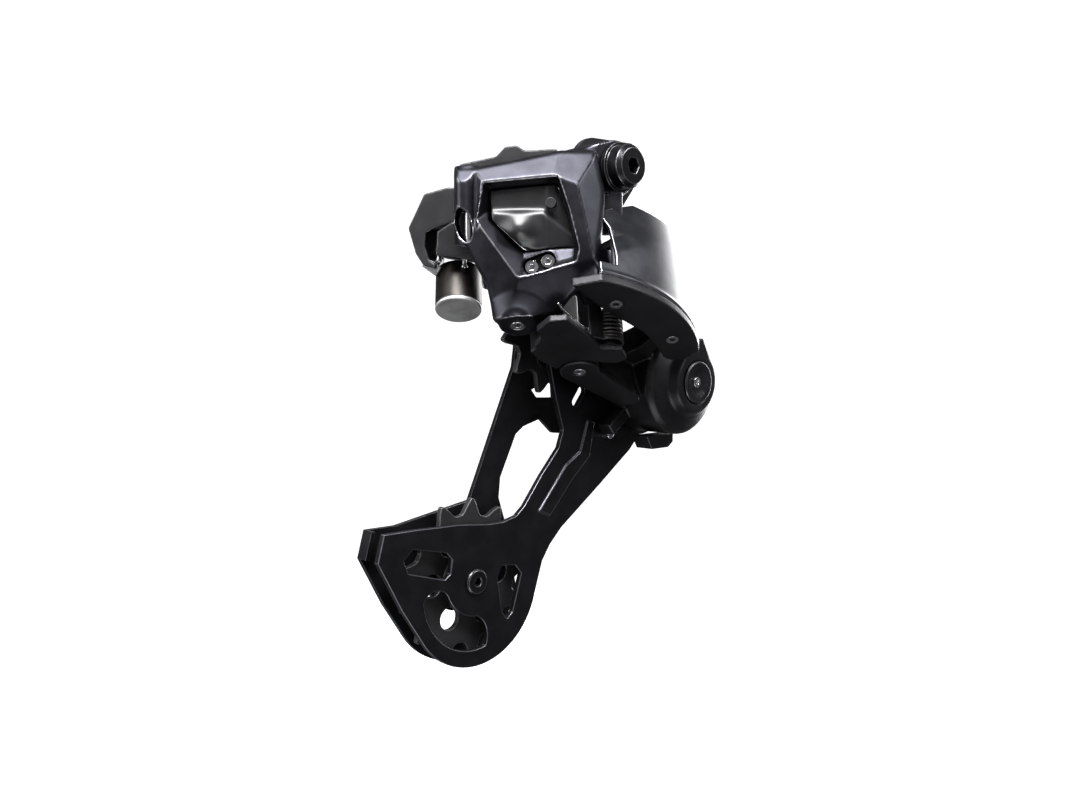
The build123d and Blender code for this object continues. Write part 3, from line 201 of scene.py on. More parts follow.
@dataclass(frozen=True)
class Finish:
    """One surface finish: its colours, gloss and fine relief."""

    name: str
    colour: Colour
    edge_colour: Colour
    roughness: float
    metallic: float
    edge_roughness: float
    texture: Texture = Texture.CAST
    relief: float = 0.010  # depth of the grain in millimetres
    grain: float = 0.35  # width of the grain in millimetres
    variation: float = 0.22  # how much the shade drifts over the surface
    specular: float = 0.5
    coat: float = 0.0
    centre: Vector = field(default_factory=Vector)  # a point on the axis of turned faces, in metres
    drift: float = 9.0  # width of the slow shade changes in millimetres

    def material(self) -> bpy.types.Material:
        """Build the finish as a procedural material.

        Returns:
            The material, named after the finish.
        """
        graph = Graph(self.name)
        place = graph.value("ShaderNodeTexCoord", {}, {}, "Object")
        slow = self._noise(graph, place, self.drift, 3.0)
        fine = self._noise(graph, place, self.grain * 4.0, 4.0)
        edge = graph.value("ShaderNodeAttribute", {"attribute_name": EDGE}, {}, "Fac")
        worn = edge * (0.62 + fine * 0.6)
        dark = (*(c * (1.0 - self.variation) for c in self.colour), 1.0)
        light = (*(c * (1.0 + self.variation) for c in self.colour), 1.0)
        colour = graph.mix(worn, graph.mix(slow.span(0.32, 0.68), dark, light), (*self.edge_colour, 1.0))
        rough = self.roughness + (slow - 0.5) * 0.12 + (fine - 0.5) * 0.08
        rough = rough + edge * (self.edge_roughness - self.roughness)
        bump = graph.value(
            "ShaderNodeBump",
            {},
            {"Height": self._height(graph, place), "Distance": self.relief * MM, "Strength": 0.8},
            "Normal",
        )
        return graph.surface({
            "Base Color": colour,
            "Roughness": rough,
            "Metallic": self.metallic,
            "Specular IOR Level": self.specular,
            "Coat Weight": self.coat,
            "Coat Roughness": 0.12,
            "Normal": bump,
        })

    @staticmethod
    def _noise(graph: Graph, place: Value, width: float, detail: float) -> Value:
        """Noise whose spots are about width millimetres wide."""
        inputs = {"Vector": place, "Scale": 1.0 / (width * MM), "Detail": detail, "Roughness": 0.55}
        return graph.value("ShaderNodeTexNoise", {}, inputs, "Fac")

    def _height(self, graph: Graph, place: Value) -> Value:
        """Build the fine relief of the surface.

        Args:
            graph: The graph to add nodes to.
            place: Coordinates on the object.

        Returns:
            The relief, from 0 to 1.
        """
        if self.texture is Texture.MOULDED:
            inputs = {"Vector": place, "Scale": 1.0 / (self.grain * MM), "Randomness": 1.0}
            return graph.value("ShaderNodeTexVoronoi", {"feature": "SMOOTH_F1"}, inputs, "Distance")
        if self.texture is Texture.BRUSHED:
            stretch = {0: place, 1: (1.0, 1.0, 0.06)}
            along = graph.value("ShaderNodeVectorMath", {"operation": "MULTIPLY"}, stretch, "Vector")
            return self._noise(graph, along, self.grain, 2.0)
        if self.texture is Texture.TURNED:
            flat = {0: place, 1: tuple(self.centre)}
            offset = graph.value("ShaderNodeVectorMath", {"operation": "SUBTRACT"}, flat, "Vector")
            turned = {0: offset, 1: (1.0, 0.0, 1.0)}
            radial = graph.value("ShaderNodeVectorMath", {"operation": "MULTIPLY"}, turned, "Vector")
            radius = graph.value("ShaderNodeVectorMath", {"operation": "LENGTH"}, {0: radial}, "Value")
            return (radius * (2.0 * math.pi / (self.grain * MM))).sine() * 0.5 + 0.5
        return self._noise(graph, place, self.grain, 5.0)


GUNMETAL = Finish("gunmetal", (0.034, 0.034, 0.041), (0.50, 0.50, 0.54), 0.38, 1.0, 0.28, relief=0.007)
FAIRING = Finish("fairing_metal", (0.050, 0.051, 0.058), (0.46, 0.46, 0.50), 0.42, 1.0, 0.30, relief=0.005)
DARK_METAL = Finish("dark_metal", (0.021, 0.021, 0.023), (0.07, 0.07, 0.08), 0.44, 0.7, 0.36, relief=0.005)
PLATE = Finish("plate_metal", (0.014, 0.014, 0.016), (0.10, 0.10, 0.115), 0.38, 0.75, 0.30, relief=0.006)
BOLT = Finish(
    "bolt_steel", (0.020, 0.020, 0.022), (0.13, 0.13, 0.14), 0.34, 0.85, 0.28, Texture.TURNED, grain=0.3
)
PIN = Finish(
    "pin_steel", (0.36, 0.36, 0.37), (0.72, 0.72, 0.74), 0.32, 1.0, 0.24, Texture.TURNED, grain=0.25
)
SPRING = Finish(
    "spring_steel", (0.11, 0.105, 0.10), (0.30, 0.30, 0.30), 0.34, 1.0, 0.30, Texture.BRUSHED, grain=0.2
)
STRIP = Finish(
    "strip_steel", (0.42, 0.42, 0.43), (0.70, 0.70, 0.71), 0.26, 1.0, 0.2, Texture.BRUSHED, grain=0.15
)
BUSH = Finish("bush_metal", (0.26, 0.20, 0.12), (0.42, 0.34, 0.22), 0.42, 1.0, 0.34)
CASE = Finish(
    "case_plastic", (0.012, 0.012, 0.013), (0.045, 0.045, 0.05), 0.34, 0.0, 0.30, Texture.MOULDED
)
COVER = Finish(
    "cover_plastic", (0.010, 0.010, 0.011), (0.05, 0.05, 0.055), 0.42, 0.0, 0.36, Texture.MOULDED
)
PAD = Finish("pad_plastic", (0.30, 0.30, 0.31), (0.5, 0.5, 0.5), 0.5, 0.0, 0.45, Texture.MOULDED)
MOTOR = Finish(
    "motor_metal", (0.036, 0.033, 0.031), (0.12, 0.115, 0.11), 0.42, 1.0, 0.34, Texture.BRUSHED,
    relief=0.004,
)
MOTOR_END = Finish("motor_end_metal", (0.56, 0.56, 0.55), (0.7, 0.7, 0.7), 0.50, 0.8, 0.40)
LENS = Finish("lens", (0.03, 0.05, 0.04), (0.1, 0.1, 0.1), 0.08, 0.0, 0.08, relief=0.001, coat=0.6)
BOARD = Finish("board", (0.01, 0.07, 0.03), (0.3, 0.25, 0.08), 0.45, 0.0, 0.4)
CELL = Finish("cell", (0.10, 0.11, 0.13), (0.3, 0.3, 0.3), 0.35, 0.4, 0.3)
PULLEY = Finish(
    "pulley_plastic", (0.012, 0.012, 0.013), (0.05, 0.05, 0.05), 0.44, 0.0, 0.38, Texture.MOULDED
)
CAP = Finish(
    "cap_metal", (0.045, 0.045, 0.048), (0.11, 0.11, 0.115), 0.40, 1.0, 0.36, Texture.TURNED,
    relief=0.003, grain=0.9,
)
DUST_CAP = Finish("dust_cap_metal", (0.02, 0.02, 0.022), (0.15, 0.15, 0.16), 0.36, 0.9, 0.3)
RUBBER = Finish("seal_rubber", (0.010, 0.010, 0.010), (0.02, 0.02, 0.02), 0.62, 0.0, 0.6, specular=0.3)
FINISHES = (
    GUNMETAL, FAIRING, DARK_METAL, PLATE, BOLT, PIN, SPRING, STRIP, BUSH, CASE, COVER, PAD,
    MOTOR, MOTOR_END, LENS, BOARD, CELL, PULLEY, CAP, DUST_CAP, RUBBER,
)


class Palette:
    """Materials made once for each finish."""

    made: dict[Finish, bpy.types.Material] = {}

    @classmethod
    def of(cls, finish: Finish) -> bpy.types.Material:
        """Return the material of a finish, built on first use.

        Args:
            finish: The finish.

        Returns:
            Its material.
        """
        if finish.name not in cls.made:
            cls.made[finish.name] = finish.material()
        return cls.made[finish.name]

    @staticmethod
    def for_slot(name: str) -> Finish:
        """Return the finish that carries the name of a record slot."""
        return next(f for f in FINISHES if f.name == name)


# ------------------------------------------------------------------ meshes
@contextmanager
def editing(mesh: bpy.types.Mesh, source: bpy.types.Mesh | None = None) -> Iterator[bmesh.types.BMesh]:
    """Open a mesh for editing and write the result back.

    Args:
        mesh: The mesh that takes the result.
        source: The mesh to start from, where it is another one.

    Returns:
        The editable mesh, for a with statement.
    """
    shape = bmesh.new()
    shape.from_mesh(source or mesh)
    yield shape
    shape.to_mesh(mesh)
    shape.free()


def numbers_of(rows: Any, key: str, width: int, kind: type = float) -> np.ndarray:
    """Read one property of all vertices or edges.

    Args:
        rows: The mesh's vertices or edges.
        key: Name of the property.
        width: Numbers in the property.
        kind: Type of the numbers.

    Returns:
        An array with one row for each vertex or edge.
    """
    flat = np.zeros(len(rows) * width, kind)
    rows.foreach_get(key, flat)
    return flat.reshape(-1, width)


class Piece:
    """A mesh object under construction, placed in the row frame in metres."""

    def __init__(self, name: str, mesh: bpy.types.Mesh) -> None:
        """Link a new object.

        Args:
            name: Name of the piece.
            mesh: Its mesh, already in place.
        """
        self.object = bpy.data.objects.new(name, mesh)
        bpy.context.scene.collection.objects.link(self.object)
        self.nodes: tuple[str, ...] = ()

    @classmethod
    def instead_of(cls, node: str) -> "Piece":
        """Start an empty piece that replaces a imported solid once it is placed.

        Args:
            node: Name of the CAD node.

        Returns:
            The piece.
        """
        piece = cls(f"{node}_finished", bpy.data.meshes.new(node))
        piece.nodes = (node,)
        return piece

    @classmethod
    def from_node(cls, node: str) -> "Piece":
        """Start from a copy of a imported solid, with its facets merged back into faces.

        Args:
            node: Name of the CAD node.

        Returns:
            The piece, which replaces the node once it is placed.
        """
        piece = cls.instead_of(node)
        with editing(piece.object.data, frame["nodes"][node].data) as shape:
            bmesh.ops.remove_doubles(shape, verts=shape.verts, dist=MERGE * MM)
            bmesh.ops.dissolve_limit(
                shape, angle_limit=math.radians(FLAT), verts=shape.verts, edges=shape.edges
            )
        return piece

    @classmethod
    def from_faces(cls, name: str, points: Sequence[Vector], faces: Sequence[Sequence[int]]) -> "Piece":
        """Start from points in millimetres and faces, with the normals turned outward.

        Args:
            name: Name of the piece.
            points: Vertices in the row frame, in millimetres.
            faces: Vertex numbers of each face.

        Returns:
            The new piece.
        """
        mesh = bpy.data.meshes.new(name)
        mesh.from_pydata([tuple(p * MM) for p in points], [], faces)
        with editing(mesh) as shape:
            bmesh.ops.remove_doubles(shape, verts=shape.verts, dist=MERGE * MM)
            bmesh.ops.recalc_face_normals(shape, faces=shape.faces)
        return cls(name, mesh)

    def apply(self) -> None:
        """Make the modifiers' result the mesh."""
        depsgraph = bpy.context.evaluated_depsgraph_get()
        result = bpy.data.meshes.new_from_object(self.object.evaluated_get(depsgraph))
        self.object.modifiers.clear()
        self.object.data = result

    def bevelled(self, width: float, segments: int = 2, angle: float = 32.0) -> "Piece":
        """Round every sharp edge and mark the new faces as edges.

        Args:
            width: Width of the bevel in millimetres.
            segments: Faces across the bevel.
            angle: Edges sharper than this many degrees are rounded.

        Returns:
            This piece.
        """
        self.object.data.materials.clear()
        for _ in range(2):
            self.object.data.materials.append(None)
        bevel = self.object.modifiers.new("bevel", "BEVEL")
        bevel.width = width * MM
        bevel.segments = segments
        bevel.limit_method = "ANGLE"
        bevel.angle_limit = math.radians(angle)
        bevel.material = 1
        bevel.use_clamp_overlap = True
        bevel.miter_outer = "MITER_ARC"
        self.apply()
        mesh = self.object.data
        edge = mesh.attributes.new(EDGE, "FLOAT", "FACE")
        edge.data.foreach_set("value", [float(p.material_index) for p in mesh.polygons])
        for polygon in mesh.polygons:
            polygon.material_index = 0
        mesh.shade_smooth()
        normals = self.object.modifiers.new("normals", "WEIGHTED_NORMAL")
        normals.weight = 60
        normals.keep_sharp = False
        return self

    def add_block(self, axes: "Axes", outline: Sequence[Point], low: float, high: float) -> "Piece":
        """Add a closed prism to the mesh, to be blended in by the next remesh.

        Args:
            axes: Axes whose x and y hold the outline.
            outline: Corners in millimetres.
            low: Lower end along z.
            high: Upper end along z.

        Returns:
            This piece.
        """
        with editing(self.object.data) as shape:
            floor = [shape.verts.new(axes.at(x, y, low) * MM) for x, y in outline]
            roof = [shape.verts.new(axes.at(x, y, high) * MM) for x, y in outline]
            made = [shape.faces.new(floor), shape.faces.new(roof)]
            for here in range(len(outline)):
                after = (here + 1) % len(outline)
                made.append(shape.faces.new((floor[here], floor[after], roof[after], roof[here])))
            bmesh.ops.recalc_face_normals(shape, faces=made)
        return self

    def cut_block(self, axes: "Axes", outline: Sequence[Point], low: float, high: float) -> "Piece":
        """Take a prism away from the mesh.

        Args:
            axes: Axes whose x and y hold the outline.
            outline: Corners in millimetres.
            low: Lower end along z.
            high: Upper end along z.

        Returns:
            This piece.
        """
        cutter = Piece("cutter", bpy.data.meshes.new("cutter")).add_block(axes, outline, low, high)
        boolean = self.object.modifiers.new("cut", "BOOLEAN")
        boolean.operation = "DIFFERENCE"
        boolean.solver = "EXACT"
        boolean.object = cutter.object
        self.apply()
        bpy.data.objects.remove(cutter.object)
        return self

    def skin(self, voxel: float) -> "Piece":
        """Blend all closed shells of the mesh into one skin of even cells.

        Args:
            voxel: Size of the cells in millimetres.

        Returns:
            This piece.
        """
        remesh = self.object.modifiers.new("skin", "REMESH")
        remesh.mode = "VOXEL"
        remesh.voxel_size = voxel * MM
        self.apply()
        return self

    def relax(self, rounds: int) -> "Piece":
        """Soften every edge of an evenly celled skin.

        Args:
            rounds: Smoothing passes, which set the edge radius.

        Returns:
            This piece.
        """
        every = {"use_axis_x": True, "use_axis_y": True, "use_axis_z": True}
        with editing(self.object.data) as shape:
            for _ in range(rounds):
                bmesh.ops.smooth_vert(shape, verts=shape.verts, factor=0.5, **every)
        self.object.data.shade_smooth()
        return self

    def pressed(self, axes: "Axes", low: float, high: float, top: Callable[[Any, Any], Any]) -> "Piece":
        """Press the flat front of a skin into relief.

        Args:
            axes: Axes whose z points out of the front.
            low: Depth behind which nothing moves, in millimetres.
            high: Depth of the flat front.
            top: Gives the new depth of the front for arrays of x and y.

        Returns:
            This piece.
        """
        mesh = self.object.data
        directions = np.array([axes.x, axes.y, axes.z])
        places = numbers_of(mesh.vertices, "co", 3) / MM
        local = (places - np.array(axes.origin)) @ directions.T
        share = (np.clip(local[:, 2], low, None) - low) / (high - low)
        pressed = low + share * (top(local[:, 0], local[:, 1]) - low)
        local[:, 2] = np.where(local[:, 2] > low, pressed, local[:, 2])
        moved = (local @ directions + np.array(axes.origin)) * MM
        mesh.vertices.foreach_set("co", moved.ravel())
        mesh.update()
        return self

    def cast(self, voxel: float, rounds: int) -> "Piece":
        """Blend the solid into one skin with soft edges, as a casting or moulding has.

        Args:
            voxel: Size of the skin's cells in millimetres.
            rounds: Smoothing passes, which set the edge radius.

        Returns:
            This piece.
        """
        return self.skin(voxel).relax(rounds).mark_ridges()

    def eased(self, depth: float) -> "Piece":
        """Move the whole surface inward, for running clearance.

        Args:
            depth: Distance in millimetres.

        Returns:
            This piece.
        """
        mesh = self.object.data
        places = numbers_of(mesh.vertices, "co", 3)
        normals = numbers_of(mesh.vertices, "normal", 3)
        mesh.vertices.foreach_set("co", (places - normals * depth * MM).ravel())
        mesh.update()
        return self

    def mark_ridges(self, low: float = 0.05, high: float = 0.17) -> "Piece":
        """Store how sharply the skin bulges at each vertex as its edge wear.

        Args:
            low: Bulge, as a share of the edge length, below which there is no wear.
            high: Bulge that is worn fully.

        Returns:
            This piece.
        """
        mesh = self.object.data
        places = numbers_of(mesh.vertices, "co", 3)
        normals = numbers_of(mesh.vertices, "normal", 3)
        pairs = numbers_of(mesh.edges, "vertices", 2, int)
        total = np.zeros_like(places)
        degree = np.zeros(len(places))
        for here, there in ((0, 1), (1, 0)):
            np.add.at(total, pairs[:, here], places[pairs[:, there]])
            np.add.at(degree, pairs[:, here], 1.0)
        mean = total / np.maximum(degree, 1.0)[:, None]
        length = np.linalg.norm(places[pairs[:, 0]] - places[pairs[:, 1]], axis=1).mean()
        bulge = ((places - mean) * normals).sum(1) / length
        wear = np.clip((bulge - low) / (high - low), 0.0, 1.0)
        mesh.attributes.new(EDGE, "FLOAT", "POINT").data.foreach_set("value", wear)
        return self

    def place(self, body: str, finish: Finish, *nodes: str, slot: str = "") -> bpy.types.Object:
        """Dress the piece, hang it on its body and hide the solids that it stands for.

        Args:
            body: Name of the CAD body.
            finish: Finish of the whole piece.
            *nodes: Further CAD nodes that it replaces.
            slot: Record slot, where it isn't named as the finish is; not used.

        Returns:
            The finished object.
        """
        mesh = self.object.data
        mesh.materials.clear()
        mesh.materials.append(Palette.of(finish))
        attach(self.object, body)
        hidden = (*self.nodes, *nodes)
        if hidden:
            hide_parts(*hidden)
        log.info("%s: %d faces on %s", self.object.name, len(mesh.polygons), body)
        return self.object


class Axes:
    """A right-handed set of axes in the row frame, in millimetres."""

    def __init__(self, origin: Vector, x: Vector, z: Vector) -> None:
        """Set the axes.

        Args:
            origin: Origin in millimetres.
            x: Direction of the first axis.
            z: Direction of the third axis.
        """
        self.origin = origin
        self.z = z.normalized()
        self.y = self.z.cross(x).normalized()
        self.x = self.y.cross(self.z)

    def at(self, x: float, y: float, z: float) -> Vector:
        """Return the row-frame point of local coordinates."""
        return self.origin + self.x * x + self.y * y + self.z * z


def joint(name: str) -> dict[str, Any]:
    """Return the frame's row of a joint."""
    return next(j for j in frame["joints"] if j["name"] == name)


def dress_solids(body: str, bevel: float, finishes: dict[str, Finish]) -> None:
    """Bevel solids of one body and dress each in its finish."""
    for node, finish in finishes.items():
        Piece.from_node(node).bevelled(bevel).place(body, finish)


def tube_along(name: str, centres: Sequence[Vector], radius: Callable[[float], float], sides: int) -> Piece:
    """Sweep a round section along points.

    Args:
        name: Name of the piece.
        centres: Points of the centre line in millimetres.
        radius: Radius in millimetres at a share, 0 to 1, of the way along.
        sides: Points round the section.

    Returns:
        The closed tube.
    """
    points: list[Vector] = []
    faces: list[list[int]] = []
    side = (centres[1] - centres[0]).orthogonal().normalized()
    last = len(centres) - 1
    for number, centre in enumerate(centres):
        ahead = centres[min(number + 1, last)] - centres[max(number - 1, 0)]
        ahead.normalize()
        side = (side - ahead * side.dot(ahead)).normalized()
        other = ahead.cross(side)
        for step in range(sides):
            angle = 2.0 * math.pi * step / sides
            reach = radius(number / last)
            points.append(centre + (side * math.cos(angle) + other * math.sin(angle)) * reach)
    for ring in range(last):
        for step in range(sides):
            after = (step + 1) % sides
            low, high = ring * sides, (ring + 1) * sides
            faces.append([low + step, low + after, high + after, high + step])
    faces.append(list(range(sides)))
    faces.append([last * sides + step for step in range(sides)])
    return Piece.from_faces(name, points, faces)


# ------------------------------------------------------------------ sub-assemblies
@dataclass
class HangerEnd:
    """What stays on the frame: bolt, sleeve, stop plate and seal."""

    bevel: float = 0.35
    sleeve_bevel: float = 0.15
    seal_bevel: float = 0.06

    def build(self) -> None:
        """Make and dress the pieces."""
        dress_solids("hanger_end", self.bevel, {"hanger_bolt": BOLT, "stop_plate": DARK_METAL})
        dress_solids("hanger_end", self.sleeve_bevel, {"axle_sleeve": BOLT})
        dress_solids("hanger_end", self.seal_bevel, {"axle_seal": RUBBER})


@dataclass(frozen=True)
class Facet:
    """Plane of a casting's front that falls away from a line at its highest depth."""

    start: Point
    end: Point  # the plane falls to the right of the way from start to end
    slope: float

    def drop(self, x: np.ndarray, y: np.ndarray) -> np.ndarray:
        """Return how far the plane has fallen at points of the front; negative on the other side.

        Args:
            x: Millimetres across the front.
            y: Millimetres up the front.

        Returns:
            The fall in millimetres.
        """
        along_x, along_y = self.end[0] - self.start[0], self.end[1] - self.start[1]
        across = (x - self.start[0]) * along_y - (y - self.start[1]) * along_x
        return self.slope * across / math.hypot(along_x, along_y)


@dataclass
class Bracket:
    """Casting that turns on the hanger bolt, with its screws and pins."""

    face: Axes
    voxel: float = 0.4
    rounds: int = 3
    back: float = -6.0  # the relief of the front ends at this depth
    front: float = 5.0
    floor: float = -5.0
    rim: tuple[Point, ...] = (
        (-11.2, 47.6), (14.2, 49.4), (17.8, 38.8), (21.2, 25.5), (20.2, 21.5), (0.5, 16.3), (-13.4, 35.2),
    )
    throat: tuple[Point, ...] = (
        (-9.5, 45.6), (13.3, 47.5), (16.8, 38.7), (19.9, 26.3), (18.6, 26.1), (1.6, 25.6), (-9.6, 35.6),
    )
    flare: float = 0.06  # how far the rim's blocks reach past the rim, as a share
    flare_centre: Point = (4.0, 33.0)
    rim_back: float = -4.5
    walls: tuple[float, ...] = (2.2, 4.0, 4.0, 2.5, 0.0, 0.95, 1.7)  # slope inside each side; 0 for a ledge
    ledge: tuple[float, float, float] = (1.6, 1.6, 0.42)  # slope, width and the slope beyond it
    facets: tuple[Facet, ...] = (
        Facet((-10.0, 48.1), (12.1, 49.9), -0.62),
        Facet((12.3, 49.9), (20.7, 46.6), -0.62),
        Facet((25.4, 26.0), (20.7, 46.6), 0.95),
        Facet((0.5, 16.3), (-13.4, 35.2), -0.36),
        Facet((0.5, 15.6), (20.2, 20.8), 0.36),
    )
    column: Point = (-17.6, 4.0)  # axis across the face, and radius
    column_edge: float = -11.0  # the column's round front ends here
    column_lift: float = 0.6
    shoulder: tuple[float, float, float, float] = (2.4, -14.2, 3.2, 0.8)  # depth, start, width and slope
    shoulder_foot: tuple[float, float, float] = (36.0, 3.0, 4.0)  # height, fade and most it stands out
    pin_offset: Point = (0.9, -0.6)  # of the column's pin, across the face and in depth
    pin_span: Point = (28.6, 46.0)
    pin_radius: float = 1.5
    pin_tip: float = 1.1
    mouth: Point = (-18.0, 33.9)  # middle of the oval opening at the column's foot
    mouth_radii: Point = (2.9, 5.6)
    mouth_lean: Point = (0.966, 0.259)  # cosine and sine
    mouth_depths: Point = (-4.2, 9.0)
    knuckle: Point = (33.4, 7.2)
    knuckle_clear: Point = (6.5, 4.0)  # radius left flat, and width of the change
    ear_clear: tuple[float, float, float] = (4.0, 8.0, 0.25)  # the same, and the least share kept
    web: tuple[Point, ...] = ((24.0, 31.5), (31.0, 31.5), (35.0, 35.0), (35.0, 46.0), (24.0, 48.0))
    web_depths: Point = (-16.0, -10.5)
    screws: tuple[Point, Point] = ((4.6, 20.0), (10.2, 22.0))  # ends of the line through the limit screws
    pocket: float = 2.9
    pocket_floor: float = -3.5
    shade_sheet_depths: Point = (-4.4, 0.12)  # back, and front above the pocket's floor, of the black sheet that paints the pocket's shade

    def build(self) -> None:
        """Make and dress the pieces."""
        self.casting().place("bracket", GUNMETAL)
        # painted shade: a black sheet in the limit screws' pocket stands in for its shadow
        self.pocket_shade_sheet().place("bracket", RUBBER)
        across, depth = self.pin_offset
        pin = tube_along(
            "column_pin_finished",
            [self.face.at(self.column[0] + across, y, depth) for y in np.linspace(*self.pin_span, 8)],
            lambda share: self.pin_radius if share > 0.02 else self.pin_tip, 20,
        )
        pin.nodes = ("column_pin",)
        pin.bevelled(0.2).place("bracket", PIN)
        finishes = {"limit_screws": PIN, "bracket_stop_screw": BOLT, "inner_upper_pin": PIN}
        dress_solids("bracket", 0.2, finishes)

    def casting(self) -> Piece:
        """Make the casting: creased front, sloping window sides and the open end of the column.

        Returns:
            The casting.
        """
        piece = Piece.from_node("bracket_casting")
        count = len(self.rim)
        middle_x, middle_y = self.flare_centre
        outer = [(x + (x - middle_x) * self.flare, y + (y - middle_y) * self.flare) for x, y in self.rim]
        for here in range(count):
            after = (here + 1) % count
            ring = (outer[here], outer[after], self.throat[after], self.throat[here])
            piece.add_block(self.face, ring, self.rim_back, self.front)
        piece.add_block(self.face, self.web, *self.web_depths)
        piece.skin(self.voxel).pressed(self.face, self.back, self.front, self.depth)
        (cx, cy), (wide, high), (cosine, sine) = self.mouth, self.mouth_radii, self.mouth_lean
        oval = [
            (cx + wide * math.cos(a) * cosine - high * math.sin(a) * sine,
             cy + wide * math.cos(a) * sine + high * math.sin(a) * cosine)
            for a in np.linspace(0.0, 2.0 * math.pi, 28, endpoint=False)
        ]
        piece.cut_block(self.face, oval, *self.mouth_depths)
        return piece.cast(self.voxel, self.rounds)

    def depth(self, x: np.ndarray, y: np.ndarray) -> np.ndarray:
        """Return the depth of the front at points of the face.

        Args:
            x: Millimetres across the face.
            y: Millimetres up the face.

        Returns:
            Depths in the face's axes, in millimetres.
        """
        outer = np.zeros_like(x)
        for facet in self.facets:
            outer = np.maximum(outer, facet.drop(x, y))
        flat, fade = self.knuckle_clear
        beside_knuckle = np.hypot(x - self.knuckle[0], y - self.knuckle[1]) - flat
        level = np.clip(beside_knuckle / fade, 0.0, 1.0)
        flat, fade, least = self.ear_clear
        level = level * np.clip((np.hypot(x, y) - flat) / fade, least, 1.0)
        outer = self.front - outer * level
        axis, radius = self.column
        bulge = self.column_lift + np.sqrt(np.clip(radius * radius - (x - axis) ** 2, 0.0, None))
        depth, start, width, slope = self.shoulder
        beside = depth + np.clip(x - start, 0.0, width) * slope
        height, fade, most = self.shoulder_foot
        rounded = np.maximum(bulge, beside) + np.clip((height - y) / fade, 0.0, most)
        outer = np.where(x < self.column_edge, np.minimum(outer, rounded), outer)
        steep, width, beyond = self.ledge
        wall = np.full_like(x, self.floor)
        within = np.ones_like(x, bool)
        for here, slope in enumerate(self.walls):
            start, end = self.rim[here], self.rim[(here + 1) % len(self.rim)]
            inward = Facet(start, end, 1.0).drop(x, y)
            within &= inward > 0.0
            fall = slope * inward if slope else steep * np.minimum(inward, width) + beyond * inward
            wall = np.maximum(wall, self.front - fall)
        (x0, y0), (x1, y1) = self.screws
        run, rise = x1 - x0, y1 - y0
        share = np.clip(((x - x0) * run + (y - y0) * rise) / (run ** 2 + rise ** 2), 0, 1)
        away = np.hypot(x - x0 - share * run, y - y0 - share * rise)
        wall = np.where(away < self.pocket, np.minimum(wall, self.pocket_floor), wall)
        return np.where(within, wall, outer)

    def pocket_shade_sheet(self) -> Piece:
        """Make a black sheet on the floor of the pocket that holds the limit screws: painted shade, standing in
        for the shadow in the recess.

        Returns:
            The sheet of painted shade.
        """
        (x0, y0), (x1, y1) = self.screws
        turn = math.atan2(y1 - y0, x1 - x0)
        reach = self.pocket + 0.1
        outline = [
            (cx + reach * math.cos(a), cy + reach * math.sin(a))
            for (cx, cy), start in (((x1, y1), turn - math.pi / 2), ((x0, y0), turn + math.pi / 2))
            for a in np.linspace(start, start + math.pi, 14)
        ]
        piece = Piece("limit_pocket_lining", bpy.data.meshes.new("limit_pocket_lining"))
        back, lift = self.shade_sheet_depths
        return piece.add_block(self.face, outline, back, self.pocket_floor + lift).bevelled(0.1)


@dataclass
class Electronics:
    """Electronics unit in the bracket's window, its cover and its button."""

    face: Axes
    outline: tuple[Point, ...] = (
        (-9.2, 45.4), (13.2, 47.2), (16.6, 38.6), (19.6, 26.6), (13.0, 26.6), (6.0, 25.4),
        (1.6, 26.4), (-8.4, 35.6),
    )
    back: float = -13.0
    front: float = 2.6
    ridge: float = 38.3
    ridge_dip: Point = (9.0, 0.75)  # where the ridge starts to run down, and its slope
    step: float = 1.6  # the panel above the ridge lies this far behind the front
    shelf: tuple[float, float, float] = (1.4, 0.16, 0.35)  # rise at the ridge, slope below it, softness
    nose: Point = (0.8, 32.0)
    nose_radii: Point = (5.4, 4.4)
    nose_height: float = 3.4
    side: Point = (10.0, 0.40)  # where the right side starts to fall away, and its slope
    cell: float = 0.5
    headroom: float = 5.0

    def depth(self, x: np.ndarray, y: np.ndarray) -> np.ndarray:
        """Return how far the front stands out at points of the face.

        Args:
            x: Millimetres across the face.
            y: Millimetres up the face.

        Returns:
            Depths in the face's axes, in millimetres.
        """
        start, slope = self.ridge_dip
        ridge = self.ridge - np.maximum(0.0, x - start) * slope
        below = np.maximum(0.0, ridge - y)
        rise, slope, softness = self.shelf
        shelf = 1.0 / (1.0 + np.exp(np.clip((y - ridge) / softness, -30.0, 30.0)))
        (cx, cy), (wide, high) = self.nose, self.nose_radii
        nose = self.nose_height * np.exp(-(((x - cx) / wide) ** 2) - ((y - cy) / high) ** 2)
        side = np.maximum(0.0, x - self.side[0]) * self.side[1]
        return self.front - self.step + shelf * (rise - below * slope) + nose * shelf - side

    def build(self) -> None:
        """Make and dress the pieces."""
        self.case().place("bracket", CASE)
        dress_solids("bracket", 0.3, {"case_back_cover": CASE})
        Piece.from_node("top_cover").cast(0.3, 4).place("bracket", COVER)
        dress_solids("button", 0.15, {"function_button": COVER})
        finishes = {"status_lens": LENS, "circuit_board": BOARD, "battery_cell": CELL}
        dress_solids("bracket", 0.15, finishes)

    def case(self) -> Piece:
        """Make the case's shell, with its ridge and the rounded nose below it.

        Returns:
            The shell, which replaces the plain case.
        """
        piece = Piece.instead_of("electronics_case")
        ceiling = self.front + self.headroom
        piece.add_block(self.face, self.outline, self.back, ceiling).skin(self.cell)
        piece.pressed(self.face, self.back, ceiling, self.depth)
        return piece.relax(3).mark_ridges(0.04, 0.16)


